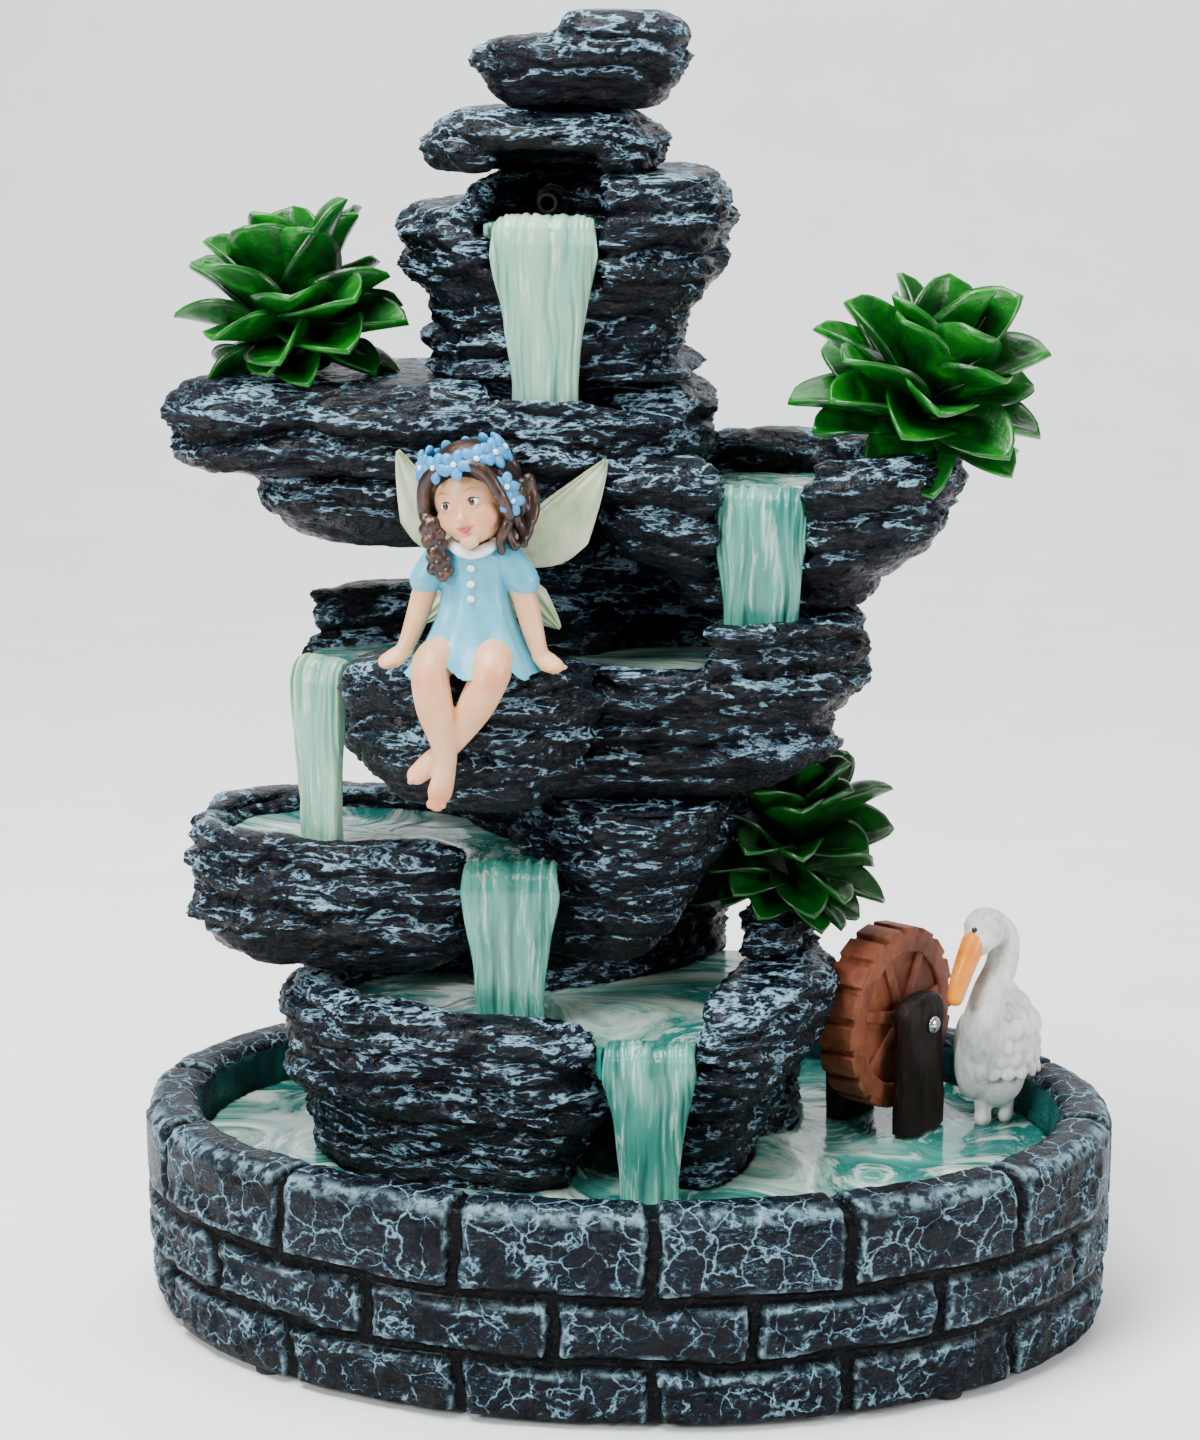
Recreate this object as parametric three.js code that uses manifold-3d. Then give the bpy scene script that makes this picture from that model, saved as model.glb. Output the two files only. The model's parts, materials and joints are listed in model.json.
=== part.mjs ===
// Tabletop water fountain: an oval brick-walled basin, a stack of cast rock tiers with six pools and five
// waterfalls, a pump and hose hidden in the rock, a turning water wheel, three leafy plants, a swan and a
// seated fairy. Millimetres, +Z up, front towards -Y, origin on the table under the middle of the basin.
import * as THREE from "three";
import { mergeVertices } from "three/addons/utils/BufferGeometryUtils.js";
import Module from "manifold-3d";

const wasm = await Module();
wasm.setup();

// ---------------------------------------------------------------- driving dimensions
const GLUE = 0.3; // glue line, or running gap, between two neighbouring pieces

const BASIN_HALF_LENGTH = 148;
const BASIN_HALF_DEPTH = 103;
const BASIN_HEIGHT = 66;
const BASIN_WALL = 16;
const FLOOR_HEIGHT = 38; // top of the basin floor above the table
const FLOOR_THICKNESS = 7;
const PAD_THICKNESS = 2;
const PAD_RADIUS = 4;
const POOL_DEPTH = 14; // tinted resin poured on the basin floor

const SUMP = { x: -13, y: 46, width: 54, depth: 50, drop: 26, wall: 4 };
const CHAMBER = { front: 26, back: 66, height: 74 };
const HATCH = { width: 36, height: 32, sill: 36, lip: 4, thickness: 6.5, face: 75.5 };
const COVER_PLAY = 0.5;

const HOSE = { x: -18, y: 50, outer: 5.2, bore: 3.8, channel: 6.6 };
const PUMP = { width: 34, depth: 26, height: 30, volute: 11, voluteDepth: 13, back: 60 };
const CUP = { radius: 4, height: 4 };

const WHEEL = { x: 79, y: 19, radius: 28.5, width: 13, clearance: 6, azimuth: -33 };
const AXLE_RADIUS = 1.5;
const BORE_RADIUS = 1.8;
const POST = { width: 21, thickness: 9, above: 9 };

const ROCK_SIDES = 20;
const COLOURS = {
  stone: 0x1b212b,
  water: 0x7fb8ac,
  leaf: 0x0c5a1c,
  dress: 0x86c4d6,
  wing: 0xc9d4b8,
  swan: 0xdcdcd6,
  wheel: 0x7a4026,
  post: 0x2b1b12,
  steel: 0xb9bcc0,
  plastic: 0x15171a,
  rubber: 0x1d1d1f,
  hose: 0xd7dfe0,
};

// ---------------------------------------------------------------- the scene graph and its helpers
const fountain = new THREE.Group();
const onFloor = new THREE.Group(); // everything that stands on the basin floor
onFloor.position.z = FLOOR_HEIGHT;
fountain.add(onFloor);

const finish = (color, roughness = 0.7, metalness = 0) =>
  new THREE.MeshStandardMaterial({ color, roughness, metalness });
const stone = finish(COLOURS.stone, 0.75);
const water = finish(COLOURS.water, 0.25);
const leafGreen = finish(COLOURS.leaf, 0.35);
const steel = finish(COLOURS.steel, 0.3, 1);
const blackPlastic = finish(COLOURS.plastic, 0.5);
const rubber = finish(COLOURS.rubber, 0.9);

// A closed three.js geometry as a solid for joining and cutting.
function solid(geometry, matrix = new THREE.Matrix4()) {
  const loose = geometry.index ? geometry.toNonIndexed() : geometry;
  const bare = new THREE.BufferGeometry();
  bare.setAttribute("position", loose.getAttribute("position").clone());
  const merged = mergeVertices(bare.applyMatrix4(matrix), 1e-3);
  const index = merged.index.array;
  const corners = [];
  for (let i = 0; i < index.length; i += 3) {
    const [a, b, c] = [index[i], index[i + 1], index[i + 2]];
    if (a !== b && b !== c && c !== a) corners.push(a, b, c);
  }
  return new wasm.Manifold(
    new wasm.Mesh({
      numProp: 3,
      vertProperties: merged.attributes.position.array,
      triVerts: new Uint32Array(corners),
    }),
  );
}

// A solid as a named mesh in its group.
function place(name, made, material, group = onFloor) {
  const { numVert, numProp, vertProperties, triVerts } = made.getMesh();
  const corners = new Float32Array(numVert * 3);
  for (let i = 0; i < numVert; i++) {
    corners.set(vertProperties.subarray(i * numProp, i * numProp + 3), i * 3);
  }
  const geometry = new THREE.BufferGeometry();
  geometry.setAttribute("position", new THREE.BufferAttribute(corners, 3));
  geometry.setIndex(new THREE.BufferAttribute(triVerts, 1));
  geometry.computeVertexNormals();
  const mesh = new THREE.Mesh(geometry, material);
  mesh.name = name;
  group.add(mesh);
  return mesh;
}

const move = (x, y, z) => new THREE.Matrix4().makeTranslation(x, y, z);
const turn = (x, y, z) => new THREE.Matrix4().makeRotationFromEuler(new THREE.Euler(x, y, z));
const join = (solids) => solids.reduce((sum, next) => sum.add(next));
const cut = (body, ...tools) => tools.reduce((left, tool) => left.subtract(tool), body);

// A block between two corners.
function block([x0, y0, z0], [x1, y1, z1]) {
  const box = new THREE.BoxGeometry(x1 - x0, y1 - y0, z1 - z0);
  return solid(box, move((x0 + x1) / 2, (y0 + y1) / 2, (z0 + z1) / 2));
}

// A round bar between two points.
function bar(from, to, radius, sides = 12, endRadius = radius) {
  const a = new THREE.Vector3(...from);
  const b = new THREE.Vector3(...to);
  const along = b.clone().sub(a);
  const aim = new THREE.Quaternion().setFromUnitVectors(
    new THREE.Vector3(0, 1, 0),
    along.clone().normalize(),
  );
  const middle = a.add(b).multiplyScalar(0.5);
  const matrix = new THREE.Matrix4().compose(middle, aim, new THREE.Vector3(1, 1, 1));
  return solid(new THREE.CylinderGeometry(endRadius, radius, along.length(), sides), matrix);
}

// An ellipsoid.
function ball([x, y, z], [rx, ry, rz], around = 8, down = 6) {
  const sphere = new THREE.SphereGeometry(1, around, down).rotateX(Math.PI / 2);
  return solid(sphere, move(x, y, z).multiply(new THREE.Matrix4().makeScale(rx, ry, rz)));
}

// A rod of round section along a curve.
function rod(points, radius, sides, steps) {
  const path = new THREE.CatmullRomCurve3(points.map((p) => new THREE.Vector3(...p)));
  const section = new THREE.Shape();
  for (let i = 0; i < sides; i++) {
    const angle = (2 * Math.PI * i) / sides;
    section[i ? "lineTo" : "moveTo"](radius * Math.cos(angle), radius * Math.sin(angle));
  }
  return solid(new THREE.ExtrudeGeometry(section, { steps, extrudePath: path }));
}

// The same, hollow.
function pipe(points, outer, bore, sides, steps) {
  const path = new THREE.CatmullRomCurve3(points.map((p) => new THREE.Vector3(...p)));
  const section = new THREE.Shape();
  const hole = new THREE.Path();
  for (let i = 0; i < sides; i++) {
    const angle = (2 * Math.PI * i) / sides;
    const [c, s] = [Math.cos(angle), Math.sin(angle)];
    section[i ? "lineTo" : "moveTo"](outer * c, outer * s);
    hole[i ? "lineTo" : "moveTo"](bore * c, bore * s);
  }
  section.holes.push(hole);
  return solid(new THREE.ExtrudeGeometry(section, { steps, extrudePath: path }));
}

// A smooth closed outline through a few points, counter-clockwise from above.
function outlineRing(points, count) {
  const curve = new THREE.CatmullRomCurve3(
    points.map(([x, y]) => new THREE.Vector3(x, y, 0)),
    true,
  );
  return curve.getSpacedPoints(count);
}

// A prism on such an outline, grown sideways by a margin.
function slab(points, bottom, top, grow = 0) {
  const ring = outlineRing(points, 2 * points.length).slice(0, -1);
  const count = ring.length;
  const grown = ring.map((p, i) => {
    const before = ring[(i + count - 1) % count];
    const after = ring[(i + 1) % count];
    const out = new THREE.Vector2(after.y - before.y, before.x - after.x).normalize();
    return new THREE.Vector2(p.x + grow * out.x, p.y + grow * out.y);
  });
  const shape = new THREE.Shape(grown);
  const prism = new THREE.ExtrudeGeometry(shape, { depth: top - bottom, bevelEnabled: false });
  return solid(prism, move(0, 0, bottom));
}

// A cast boulder: one outline carried through levels of [height, share of the outline, shift x, shift y].
// Its sides ripple like bedded stone. The first and last levels are flat, to stack on.
function boulder({ outline, levels }, grow = 0) {
  const ring = outlineRing(outline, ROCK_SIDES);
  const middle = new THREE.Vector2();
  ring.slice(0, -1).forEach((p) => middle.add(new THREE.Vector2(p.x, p.y)));
  middle.divideScalar(ROCK_SIDES);
  const seed = outline[0][0];
  const last = levels.length - 1;
  const rows = [[levels[0][0], 0], ...levels, [levels[last][0], 0]];
  const profile = rows.map(([height, share]) => new THREE.Vector2(share, height));
  const lathe = new THREE.LatheGeometry(profile, ROCK_SIDES);
  const position = lathe.getAttribute("position");
  for (let side = 0; side <= ROCK_SIDES; side++) {
    const p = ring[side % ROCK_SIDES];
    const angle = (2 * Math.PI * (side % ROCK_SIDES)) / ROCK_SIDES;
    rows.forEach(([height, share, shiftX = 0, shiftY = 0], row) => {
      const outer = row <= 1 || row >= rows.length - 2;
      const ripple = 1 + 0.03 * Math.sin(4 * angle + seed) + 0.018 * Math.sin(7 * angle - 1.9 * row);
      const reach = new THREE.Vector2(p.x - middle.x, p.y - middle.y).multiplyScalar(share * ripple);
      reach.setLength(share ? reach.length() + grow : 0);
      const end = row <= 1 ? -grow : grow;
      const lift = outer ? end : 1.2 * Math.sin(3 * angle + 0.7 * row + seed);
      position.setXYZ(
        side * rows.length + row,
        middle.x + shiftX + reach.x,
        middle.y + shiftY + reach.y,
        height + lift,
      );
    });
  }
  return solid(lathe);
}

// ---------------------------------------------------------------- basin, pads and basin pool
// A closed ring of the basin's oval: each point is [inset from the outer wall, height]; null is the middle.
const BASIN_SIDES = 36;
function oval(profile, sides = BASIN_SIDES) {
  const lathe = new THREE.LatheGeometry(
    profile.map(([inset, z]) => new THREE.Vector2(inset === null ? 0 : BASIN_HALF_LENGTH - inset, z)),
    sides,
  );
  const position = lathe.getAttribute("position");
  for (let side = 0; side <= sides; side++) {
    const angle = (2 * Math.PI * (side % sides)) / sides;
    profile.forEach(([inset, z], row) => {
      const [a, b] = inset === null ? [0, 0] : [BASIN_HALF_LENGTH - inset, BASIN_HALF_DEPTH - inset];
      position.setXYZ(side * profile.length + row, a * Math.cos(angle), b * Math.sin(angle), z);
    });
  }
  return solid(lathe);
}

const baseZ = PAD_THICKNESS + GLUE;
const courseHeight = (BASIN_HEIGHT - baseZ) / 3;
const JOINT_DEPTH = 1.8;
const SKIRT = 12; // width of the ring that the basin stands on
const basinProfile = [[3, baseZ]];
for (const course of [1, 2]) {
  const z = baseZ + course * courseHeight;
  const inset = 3 - course;
  basinProfile.push([inset, z - 1.5], [inset + JOINT_DEPTH, z - 0.8], [inset + JOINT_DEPTH, z + 0.8]);
  basinProfile.push([inset - 0.2, z + 1.5]);
}
basinProfile.push(
  [0, BASIN_HEIGHT - 6],
  [2, BASIN_HEIGHT - 1.5],
  [5, BASIN_HEIGHT],
  [BASIN_WALL - 2, BASIN_HEIGHT],
  [BASIN_WALL, BASIN_HEIGHT - 2],
  [BASIN_WALL + 1.5, FLOOR_HEIGHT],
  [null, FLOOR_HEIGHT],
  [null, FLOOR_HEIGHT - FLOOR_THICKNESS],
  [SKIRT + 8, FLOOR_HEIGHT - FLOOR_THICKNESS],
  [SKIRT, FLOOR_HEIGHT - FLOOR_THICKNESS - 8],
  [SKIRT, baseZ],
  [3, baseZ],
);

const sumpFloor = FLOOR_HEIGHT - SUMP.drop;
function sumpBlock(margin, bottom, top) {
  return block(
    [SUMP.x - SUMP.width / 2 - margin, SUMP.y - SUMP.depth / 2 - margin, bottom],
    [SUMP.x + SUMP.width / 2 + margin, SUMP.y + SUMP.depth / 2 + margin, top],
  );
}

const GROMMET = { x: 45, height: BASIN_HEIGHT - 9, radius: 3.7, flange: 6, flangeThickness: 2 };
const grommetWall = (x) => BASIN_HALF_DEPTH * Math.sqrt(1 - (x / BASIN_HALF_LENGTH) ** 2);
const grommetSeat = grommetWall(GROMMET.x - GROMMET.flange) + GLUE;
const grommetHole = bar(
  [GROMMET.x, BASIN_HALF_DEPTH - 2 * BASIN_WALL, GROMMET.height],
  [GROMMET.x, BASIN_HALF_DEPTH + BASIN_WALL, GROMMET.height],
  GROMMET.radius + GLUE,
);
const basin = cut(
  oval(basinProfile).add(sumpBlock(SUMP.wall, sumpFloor - SUMP.wall, FLOOR_HEIGHT - 1)),
  sumpBlock(0, sumpFloor, FLOOR_HEIGHT + 1),
  grommetHole,
);
place("basin", basin, stone, fountain);

const gland = cut(
  join([
    bar(
      [GROMMET.x, grommetSeat - BASIN_WALL - 4, GROMMET.height],
      [GROMMET.x, grommetSeat + 0.5, GROMMET.height],
      GROMMET.radius,
    ),
    bar(
      [GROMMET.x, grommetSeat, GROMMET.height],
      [GROMMET.x, grommetSeat + GROMMET.flangeThickness, GROMMET.height],
      GROMMET.flange,
      16,
    ),
  ]),
  bar(
    [GROMMET.x, grommetSeat - 2 * BASIN_WALL, GROMMET.height],
    [GROMMET.x, grommetSeat + BASIN_WALL, GROMMET.height],
    GROMMET.radius - 1.2,
  ),
);
place("cord_grommet", gland, rubber, fountain);

const padInset = (3 + SKIRT) / 2;
[45, 135, 225, 315].forEach((degrees, i) => {
  const angle = THREE.MathUtils.degToRad(degrees);
  const x = (BASIN_HALF_LENGTH - padInset) * Math.cos(angle);
  const y = (BASIN_HALF_DEPTH - padInset) * Math.sin(angle);
  const pad = bar([x, y, 0], [x, y, PAD_THICKNESS], PAD_RADIUS);
  place(`foot_pad_${i + 1}`, pad, rubber, fountain);
});

// ---------------------------------------------------------------- rock tiers, heights above the basin floor
const COLUMN_TOP = 198;
const LOWER_POOL = 60;
const SHELF_TOP = 86;
const LEFT_POOL = 108;
const MID_BASE = 126;
const MID_POOL = 164;
const MID_TOP = 181;
const RIGHT_POOL = 216;
const LEDGE_BASE = 220;
const LEDGE_TOP = 247;
const SPRING_POOL = 293;
const SHOULDER_TOP = 306;
const COLLAR_TOP = 324;
const CROWN_TOP = 352;
const GUTTER = LEDGE_TOP - 8; // floor of the channel on the ledge, from the spring's fall to the right bowl
const RESIN = 9; // thickness of the tinted resin in a tier's pool
const HEADROOM = 40; // clear air cut over a pool

const column = {
  outline: [
    [30, 50], [24, 66], [6, 76], [-22, 77], [-42, 68], [-51, 42], [-47, 12], [-30, -4], [-10, 2], [9, 20], [24, 36],
  ],
  levels: [
    [GLUE, 1], [30, 1.02], [58, 0.98], [84, 0.94], [112, 1], [140, 0.95], [168, 1], [COLUMN_TOP, 0.92],
  ],
};
const lowerLeft = {
  outline: [
    [-3, -38], [-4, -5], [-30, 28], [-70, 30], [-97, 14], [-104, -10], [-94, -36], [-70, -54], [-40, -60], [-9, -60],
  ],
  levels: [
    [GLUE, 0.76], [14, 0.78], [22, 0.88], [30, 0.86], [38, 0.96], [46, 0.93], [56, 1], [62, 0.97], [68, 0.9],
  ],
};
const lowerRight = {
  outline: [
    [62, -14], [63, 8], [54, 26], [40, 34], [28, 12], [22, -16], [22, -44], [26, -57], [42, -52], [54, -36],
  ],
  levels: [
    [GLUE, 0.5, -16, -12], [12, 0.54, -14, -10], [24, 0.66, -11, -7], [36, 0.74, -8, -5], [46, 0.88, -4, -2],
    [55, 0.92, -1, 0], [63, 1], [71, 0.86, 1, 3],
  ],
};
const rightShelf = {
  outline: [[56, 12], [55, 34], [50, 48], [38, 50], [29, 40], [28, 16], [30, -2], [44, -4], [53, 2]],
  levels: [
    [GLUE, 0.82, -2, 2], [16, 0.86, -2, 2], [30, 0.84, -1, 1], [44, 0.92], [56, 0.9], [66, 1], [76, 0.94],
    [SHELF_TOP, 0.9],
  ],
};
const leftBowl = {
  outline: [
    [-41, -22], [-42, 12], [-60, 40], [-92, 44], [-120, 36], [-134, 12], [-134, -8], [-119, -26], [-90, -33],
    [-60, -36], [-45, -35],
  ],
  levels: [[70, 0.62], [76, 0.8], [84, 0.97], [91, 0.92], [99, 1], [106, 0.95], [114, 0.97]],
};
const midUnder = {
  outline: [
    [37, -6], [33, 20], [10, 34], [-36, 12], [-45, -10], [-38, -23], [-17, -24], [-13, -36], [12, -38], [32, -26],
  ],
  levels: [
    [74, 0.46, -10], [82, 0.6, -9], [92, 0.74, -6], [100, 0.8, -4], [110, 0.94, -2], [118, 0.94], [MID_BASE, 1],
  ],
};
const midBowl = {
  outline: [
    [71, -8], [68, 16], [45, 36], [0, 44], [-50, 42], [-84, 30], [-98, 8], [-93, -14], [-78, -30], [-40, -37],
    [0, -39], [40, -38], [63, -27],
  ],
  levels: [
    [MID_BASE + GLUE, 0.66], [134, 0.82], [142, 0.9], [150, 0.86], [160, 0.99], [170, 0.95], [MID_TOP, 0.96],
  ],
};
const seat = {
  outline: [
    [-4, -38], [-12, -25], [-42, -22], [-70, -23], [-79, -34], [-72, -50], [-52, -60], [-24, -62], [-8, -54],
  ],
  levels: [[128, 0.55], [136, 0.8], [145, 0.94], [152, 0.9], [161, 1], [167, 0.96], [170, 0.88]],
};
const rightBowl = {
  outline: [
    [100, -5], [95, 20], [72, 38], [42, 42], [15, 34], [-2, 22], [-10, 0], [-6, -22], [2, -34], [22, -36],
    [42, -33], [62, -34], [84, -30], [97, -20],
  ],
  levels: [[MID_TOP + GLUE, 0.5], [190, 0.56], [198, 0.82], [206, 0.95], [212, 0.9], [219, 1], [228, 0.95]],
};
const ledgeLower = {
  outline: [
    [-8, -10], [2, 12], [4, 46], [-18, 66], [-48, 60], [-80, 40], [-104, 16], [-108, -6], [-96, -22], [-66, -28],
    [-30, -24],
  ],
  levels: [[COLUMN_TOP + GLUE, 0.74], [203, 0.86], [209, 0.97], [214, 0.94], [LEDGE_BASE, 0.98]],
};
const ledgeUpper = {
  outline: [
    [24, -14], [26, 12], [18, 48], [-5, 67], [-42, 67], [-78, 50], [-112, 36], [-131, 12], [-133, -12],
    [-118, -27], [-84, -31], [-40, -32], [-5, -33], [17, -28],
  ],
  levels: [[LEDGE_BASE + GLUE, 0.92], [226, 0.99], [231, 0.95], [237, 1], [242, 0.97], [LEDGE_TOP, 0.88]],
};
const shoulder = {
  outline: [
    [29, 5], [28, 36], [12, 60], [-20, 67], [-50, 54], [-66, 30], [-68, 6], [-60, -12], [-42, -24], [-22, -29],
    [2, -29], [19, -24], [27, -12],
  ],
  levels: [
    [LEDGE_TOP + GLUE, 0.86], [254, 0.74, -4], [263, 0.76, -3], [272, 0.84], [279, 0.97], [285, 0.92], [293, 1],
    [300, 0.96], [SHOULDER_TOP, 0.9],
  ],
};
const collar = {
  outline: [
    [9, -2], [11, 24], [-2, 44], [-28, 48], [-50, 36], [-59, 10], [-53, -14], [-30, -23], [-8, -23], [6, -16],
  ],
  levels: [[SHOULDER_TOP + GLUE, 0.9], [311, 0.97], [318, 1], [COLLAR_TOP, 0.7]],
};
const crown = {
  outline: [[17, 5], [15, 27], [-5, 38], [-28, 34], [-44, 16], [-43, -4], [-28, -17], [-5, -19], [12, -12]],
  levels: [[COLLAR_TOP + GLUE, 0.7], [331, 0.86], [337, 1], [342, 0.95], [347, 0.98], [CROWN_TOP, 0.72]],
};

// ---------------------------------------------------------------- waterfalls
// A ribbon of resin that leaves a lip at the back, arches forward and drops to its foot. In its own frame it
// falls along -Z from the lip at the origin and faces -Y.
const FALL_THICKNESS = 5;
function waterfall({ lip, foot, reach, topWidth, footWidth }) {
  const drop = lip - foot - GLUE;
  const outer = new THREE.CatmullRomCurve3([
    new THREE.Vector3(4, 2.2, 0),
    new THREE.Vector3(-3, 1.6, 0),
    new THREE.Vector3(-reach - 1.5, -9, 0),
    new THREE.Vector3(-reach, -drop * 0.55, 0),
    new THREE.Vector3(-reach + 0.8, -drop, 0),
  ]).getPoints(8);
  const inner = [
    new THREE.Vector2(-reach + 0.8 + FALL_THICKNESS, -drop),
    new THREE.Vector2(-reach + FALL_THICKNESS, -drop * 0.55),
    new THREE.Vector2(-reach + FALL_THICKNESS - 1, -10),
    new THREE.Vector2(0, GLUE),
    new THREE.Vector2(4, GLUE),
  ];
  const side = new THREE.Shape([...outer.map((p) => new THREE.Vector2(p.x, p.y)), ...inner]);
  const ribbon = new THREE.ExtrudeGeometry(side, { depth: topWidth, bevelEnabled: false });
  ribbon.translate(0, 0, -topWidth / 2);
  const position = ribbon.getAttribute("position");
  for (let i = 0; i < position.count; i++) {
    const down = THREE.MathUtils.clamp(-position.getY(i) / drop, 0, 1);
    const share = THREE.MathUtils.lerp(1, footWidth / topWidth, THREE.MathUtils.smoothstep(down, 0, 1));
    position.setXYZ(i, position.getZ(i) * share, position.getX(i), position.getY(i));
  }
  return solid(ribbon);
}

// The air each fall hangs in: it clears the rock in front of the fall and ends the pool's resin behind it.
const ROOM_SIDE = 1;
const inFallFrame = ({ at, lip, facing = 0 }) => move(at[0], at[1], lip).multiply(turn(0, 0, facing));
function fallRoom(fall) {
  const deep = 40;
  const back = FALL_THICKNESS - fall.reach + 2 * GLUE;
  const height = fall.lip - fall.foot + 20;
  const room = new THREE.BoxGeometry(fall.topWidth + 2 * ROOM_SIDE, deep, height);
  room.translate(0, back - deep / 2, 20 - height / 2);
  return solid(room, inFallFrame(fall));
}
const falls = {
  fall_spring: {
    at: [-21, -23], lip: SPRING_POOL, foot: GUTTER, reach: 3, topWidth: 30, footWidth: 19,
  },
  fall_right: { at: [41, -21], lip: RIGHT_POOL, foot: MID_POOL, reach: 2, topWidth: 26, footWidth: 23 },
  fall_left: {
    at: [-88, -18], lip: MID_POOL, foot: LEFT_POOL, reach: 2, topWidth: 19, footWidth: 15, facing: -0.5,
  },
  fall_middle: { at: [-30.5, -38], lip: LEFT_POOL, foot: LOWER_POOL, reach: 3, topWidth: 25, footWidth: 19 },
  fall_lower: { at: [12, -58], lip: LOWER_POOL, foot: POOL_DEPTH, reach: 2, topWidth: 26, footWidth: 18 },
};
for (const [name, fall] of Object.entries(falls)) {
  const mesh = place(name, waterfall(fall), water);
  mesh.position.set(fall.at[0], fall.at[1], fall.lip);
  mesh.rotation.z = fall.facing ?? 0;
}
const room = Object.fromEntries(Object.entries(falls).map(([name, fall]) => [name, fallRoom(fall)]));


// Each pool: the outline of its water, out to the lip where it spills.
const pools = {
  pool_lower: {
    surface: LOWER_POOL,
    spills: "fall_lower",
    outline: [
      [24, -58], [25, -40], [31, -12], [40, 16], [42, 40], [20, 44], [-20, 20], [-70, 12], [-88, -8], [-82, -28],
      [-52, -44], [-14, -47], [-2, -50], [-2, -60],
    ],
  },
  pool_left: {
    surface: LEFT_POOL,
    spills: "fall_middle",
    outline: [
      [-18, -39], [-18, -26], [-30, -14], [-40, 8], [-60, 26], [-95, 30], [-118, 16], [-122, -6], [-106, -21],
      [-72, -26], [-46, -27], [-43, -39],
    ],
  },
  pool_mid: {
    surface: MID_POOL,
    spills: "fall_left",
    outline: [
      [59, -14], [54, 4], [30, 16], [-10, 20], [-60, 22], [-80, 12], [-99, 2], [-104, -12], [-95, -26], [-77, -23],
      [-60, -19], [-20, -18], [15, -29], [50, -29],
    ],
  },
  pool_right: {
    surface: RIGHT_POOL,
    spills: "fall_right",
    outline: [
      [76, -8], [70, 15], [46, 25], [24, 22], [17, 4], [22, -16], [28, -24], [28, -34], [54, -34], [55, -24],
      [68, -21],
    ],
  },
  pool_spring: {
    surface: SPRING_POOL,
    spills: "fall_spring",
    outline: [[-7, -20], [-8, 0], [-16, 8], [-30, 8], [-38, 0], [-39, -20], [-37, -30], [-9, -30]],
  },
};
const poolSpace = ({ surface, outline }) =>
  slab(outline, surface - RESIN - GLUE, surface + HEADROOM, GLUE);

// The way the hose takes: up through the stack, then forward to the spring.
const SPRING = { x: -23, y: 14, height: SPRING_POOL + 4 };
const pumpBase = CUP.height + 2 * GLUE - SUMP.drop;
const hoseStart = pumpBase + PUMP.height + 2;
const BEND = 16;
const hoseRoute = [
  [HOSE.x, HOSE.y, hoseStart],
  [HOSE.x, HOSE.y, COLUMN_TOP / 2],
  [HOSE.x, HOSE.y, COLUMN_TOP],
  [HOSE.x, HOSE.y, SPRING.height - BEND],
  [(HOSE.x + SPRING.x) / 2, HOSE.y - BEND / 2, SPRING.height - 3],
  [SPRING.x, SPRING.y + BEND / 2, SPRING.height],
  [SPRING.x, SPRING.y, SPRING.height],
];
const HOSE_STEPS = 12;
const hoseChannel = rod(hoseRoute, HOSE.channel, 8, HOSE_STEPS).add(
  bar([SPRING.x, SPRING.y + 2, SPRING.height], [SPRING.x, 0, SPRING.height], HOSE.channel, 8),
);

// The wheel's place in the basin, and the room it turns in.
const wheelPlace = new THREE.Group();
const wheelHeight = POOL_DEPTH + WHEEL.clearance + WHEEL.radius;
wheelPlace.position.set(WHEEL.x, WHEEL.y, wheelHeight);
// Its own Z is the axle: level, turned towards the front right.
wheelPlace.rotation.set(0, Math.PI / 2, THREE.MathUtils.degToRad(WHEEL.azimuth), "ZYX");
onFloor.add(wheelPlace);
wheelPlace.updateMatrix();
const POST_GAP = 1.5;
const wheelRoom = solid(
  new THREE.CylinderGeometry(WHEEL.radius + 2, WHEEL.radius + 2, WHEEL.width + 6, 20).rotateX(Math.PI / 2),
  wheelPlace.matrix,
);

// Pump chamber in the foot of the column, its hatch, and the holes that let water in.
const hatchX = SUMP.x;
const chamber = block(
  [SUMP.x - SUMP.width / 2 + 2, CHAMBER.front, -1],
  [SUMP.x + SUMP.width / 2 - 4, CHAMBER.back, CHAMBER.height],
);
const hatchHole = block(
  [hatchX - HATCH.width / 2, CHAMBER.back - 1, HATCH.sill],
  [hatchX + HATCH.width / 2, 120, HATCH.sill + HATCH.height],
);
const hatchRebate = block(
  [hatchX - HATCH.width / 2 - HATCH.lip, HATCH.face - HATCH.thickness, HATCH.sill - HATCH.lip],
  [hatchX + HATCH.width / 2 + HATCH.lip, 120, HATCH.sill + HATCH.height + HATCH.lip],
);
// Room behind the pump, below the hatch, for its grille to be pulled back and lifted out.
const GRILLE_ROOM = { side: 20, depth: 5, height: 12 };
const grilleRoom = block(
  [SUMP.x - GRILLE_ROOM.side, CHAMBER.back - 1, -1],
  [SUMP.x + GRILLE_ROOM.side, CHAMBER.back + GRILLE_ROOM.depth, GRILLE_ROOM.height],
);
const INTAKE_RADIUS = 3.5;
const intakes = [-1, 1].map((side) =>
  bar([SUMP.x, 56, POOL_DEPTH + 6], [SUMP.x + side * 80, 56, POOL_DEPTH + 6], INTAKE_RADIUS, 10),
);

const gutter = block([-38, -29, GUTTER - GLUE], [60, -12, LEDGE_TOP + 5]);
const springMouth = block([-38, -60, SPRING_POOL - RESIN - GLUE], [-5, 6, SHOULDER_TOP + 7]);
const lowRim = block([-110, -70, MID_POOL + 3], [27, -14, MID_TOP + 10]); // the middle bowl's open front

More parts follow.
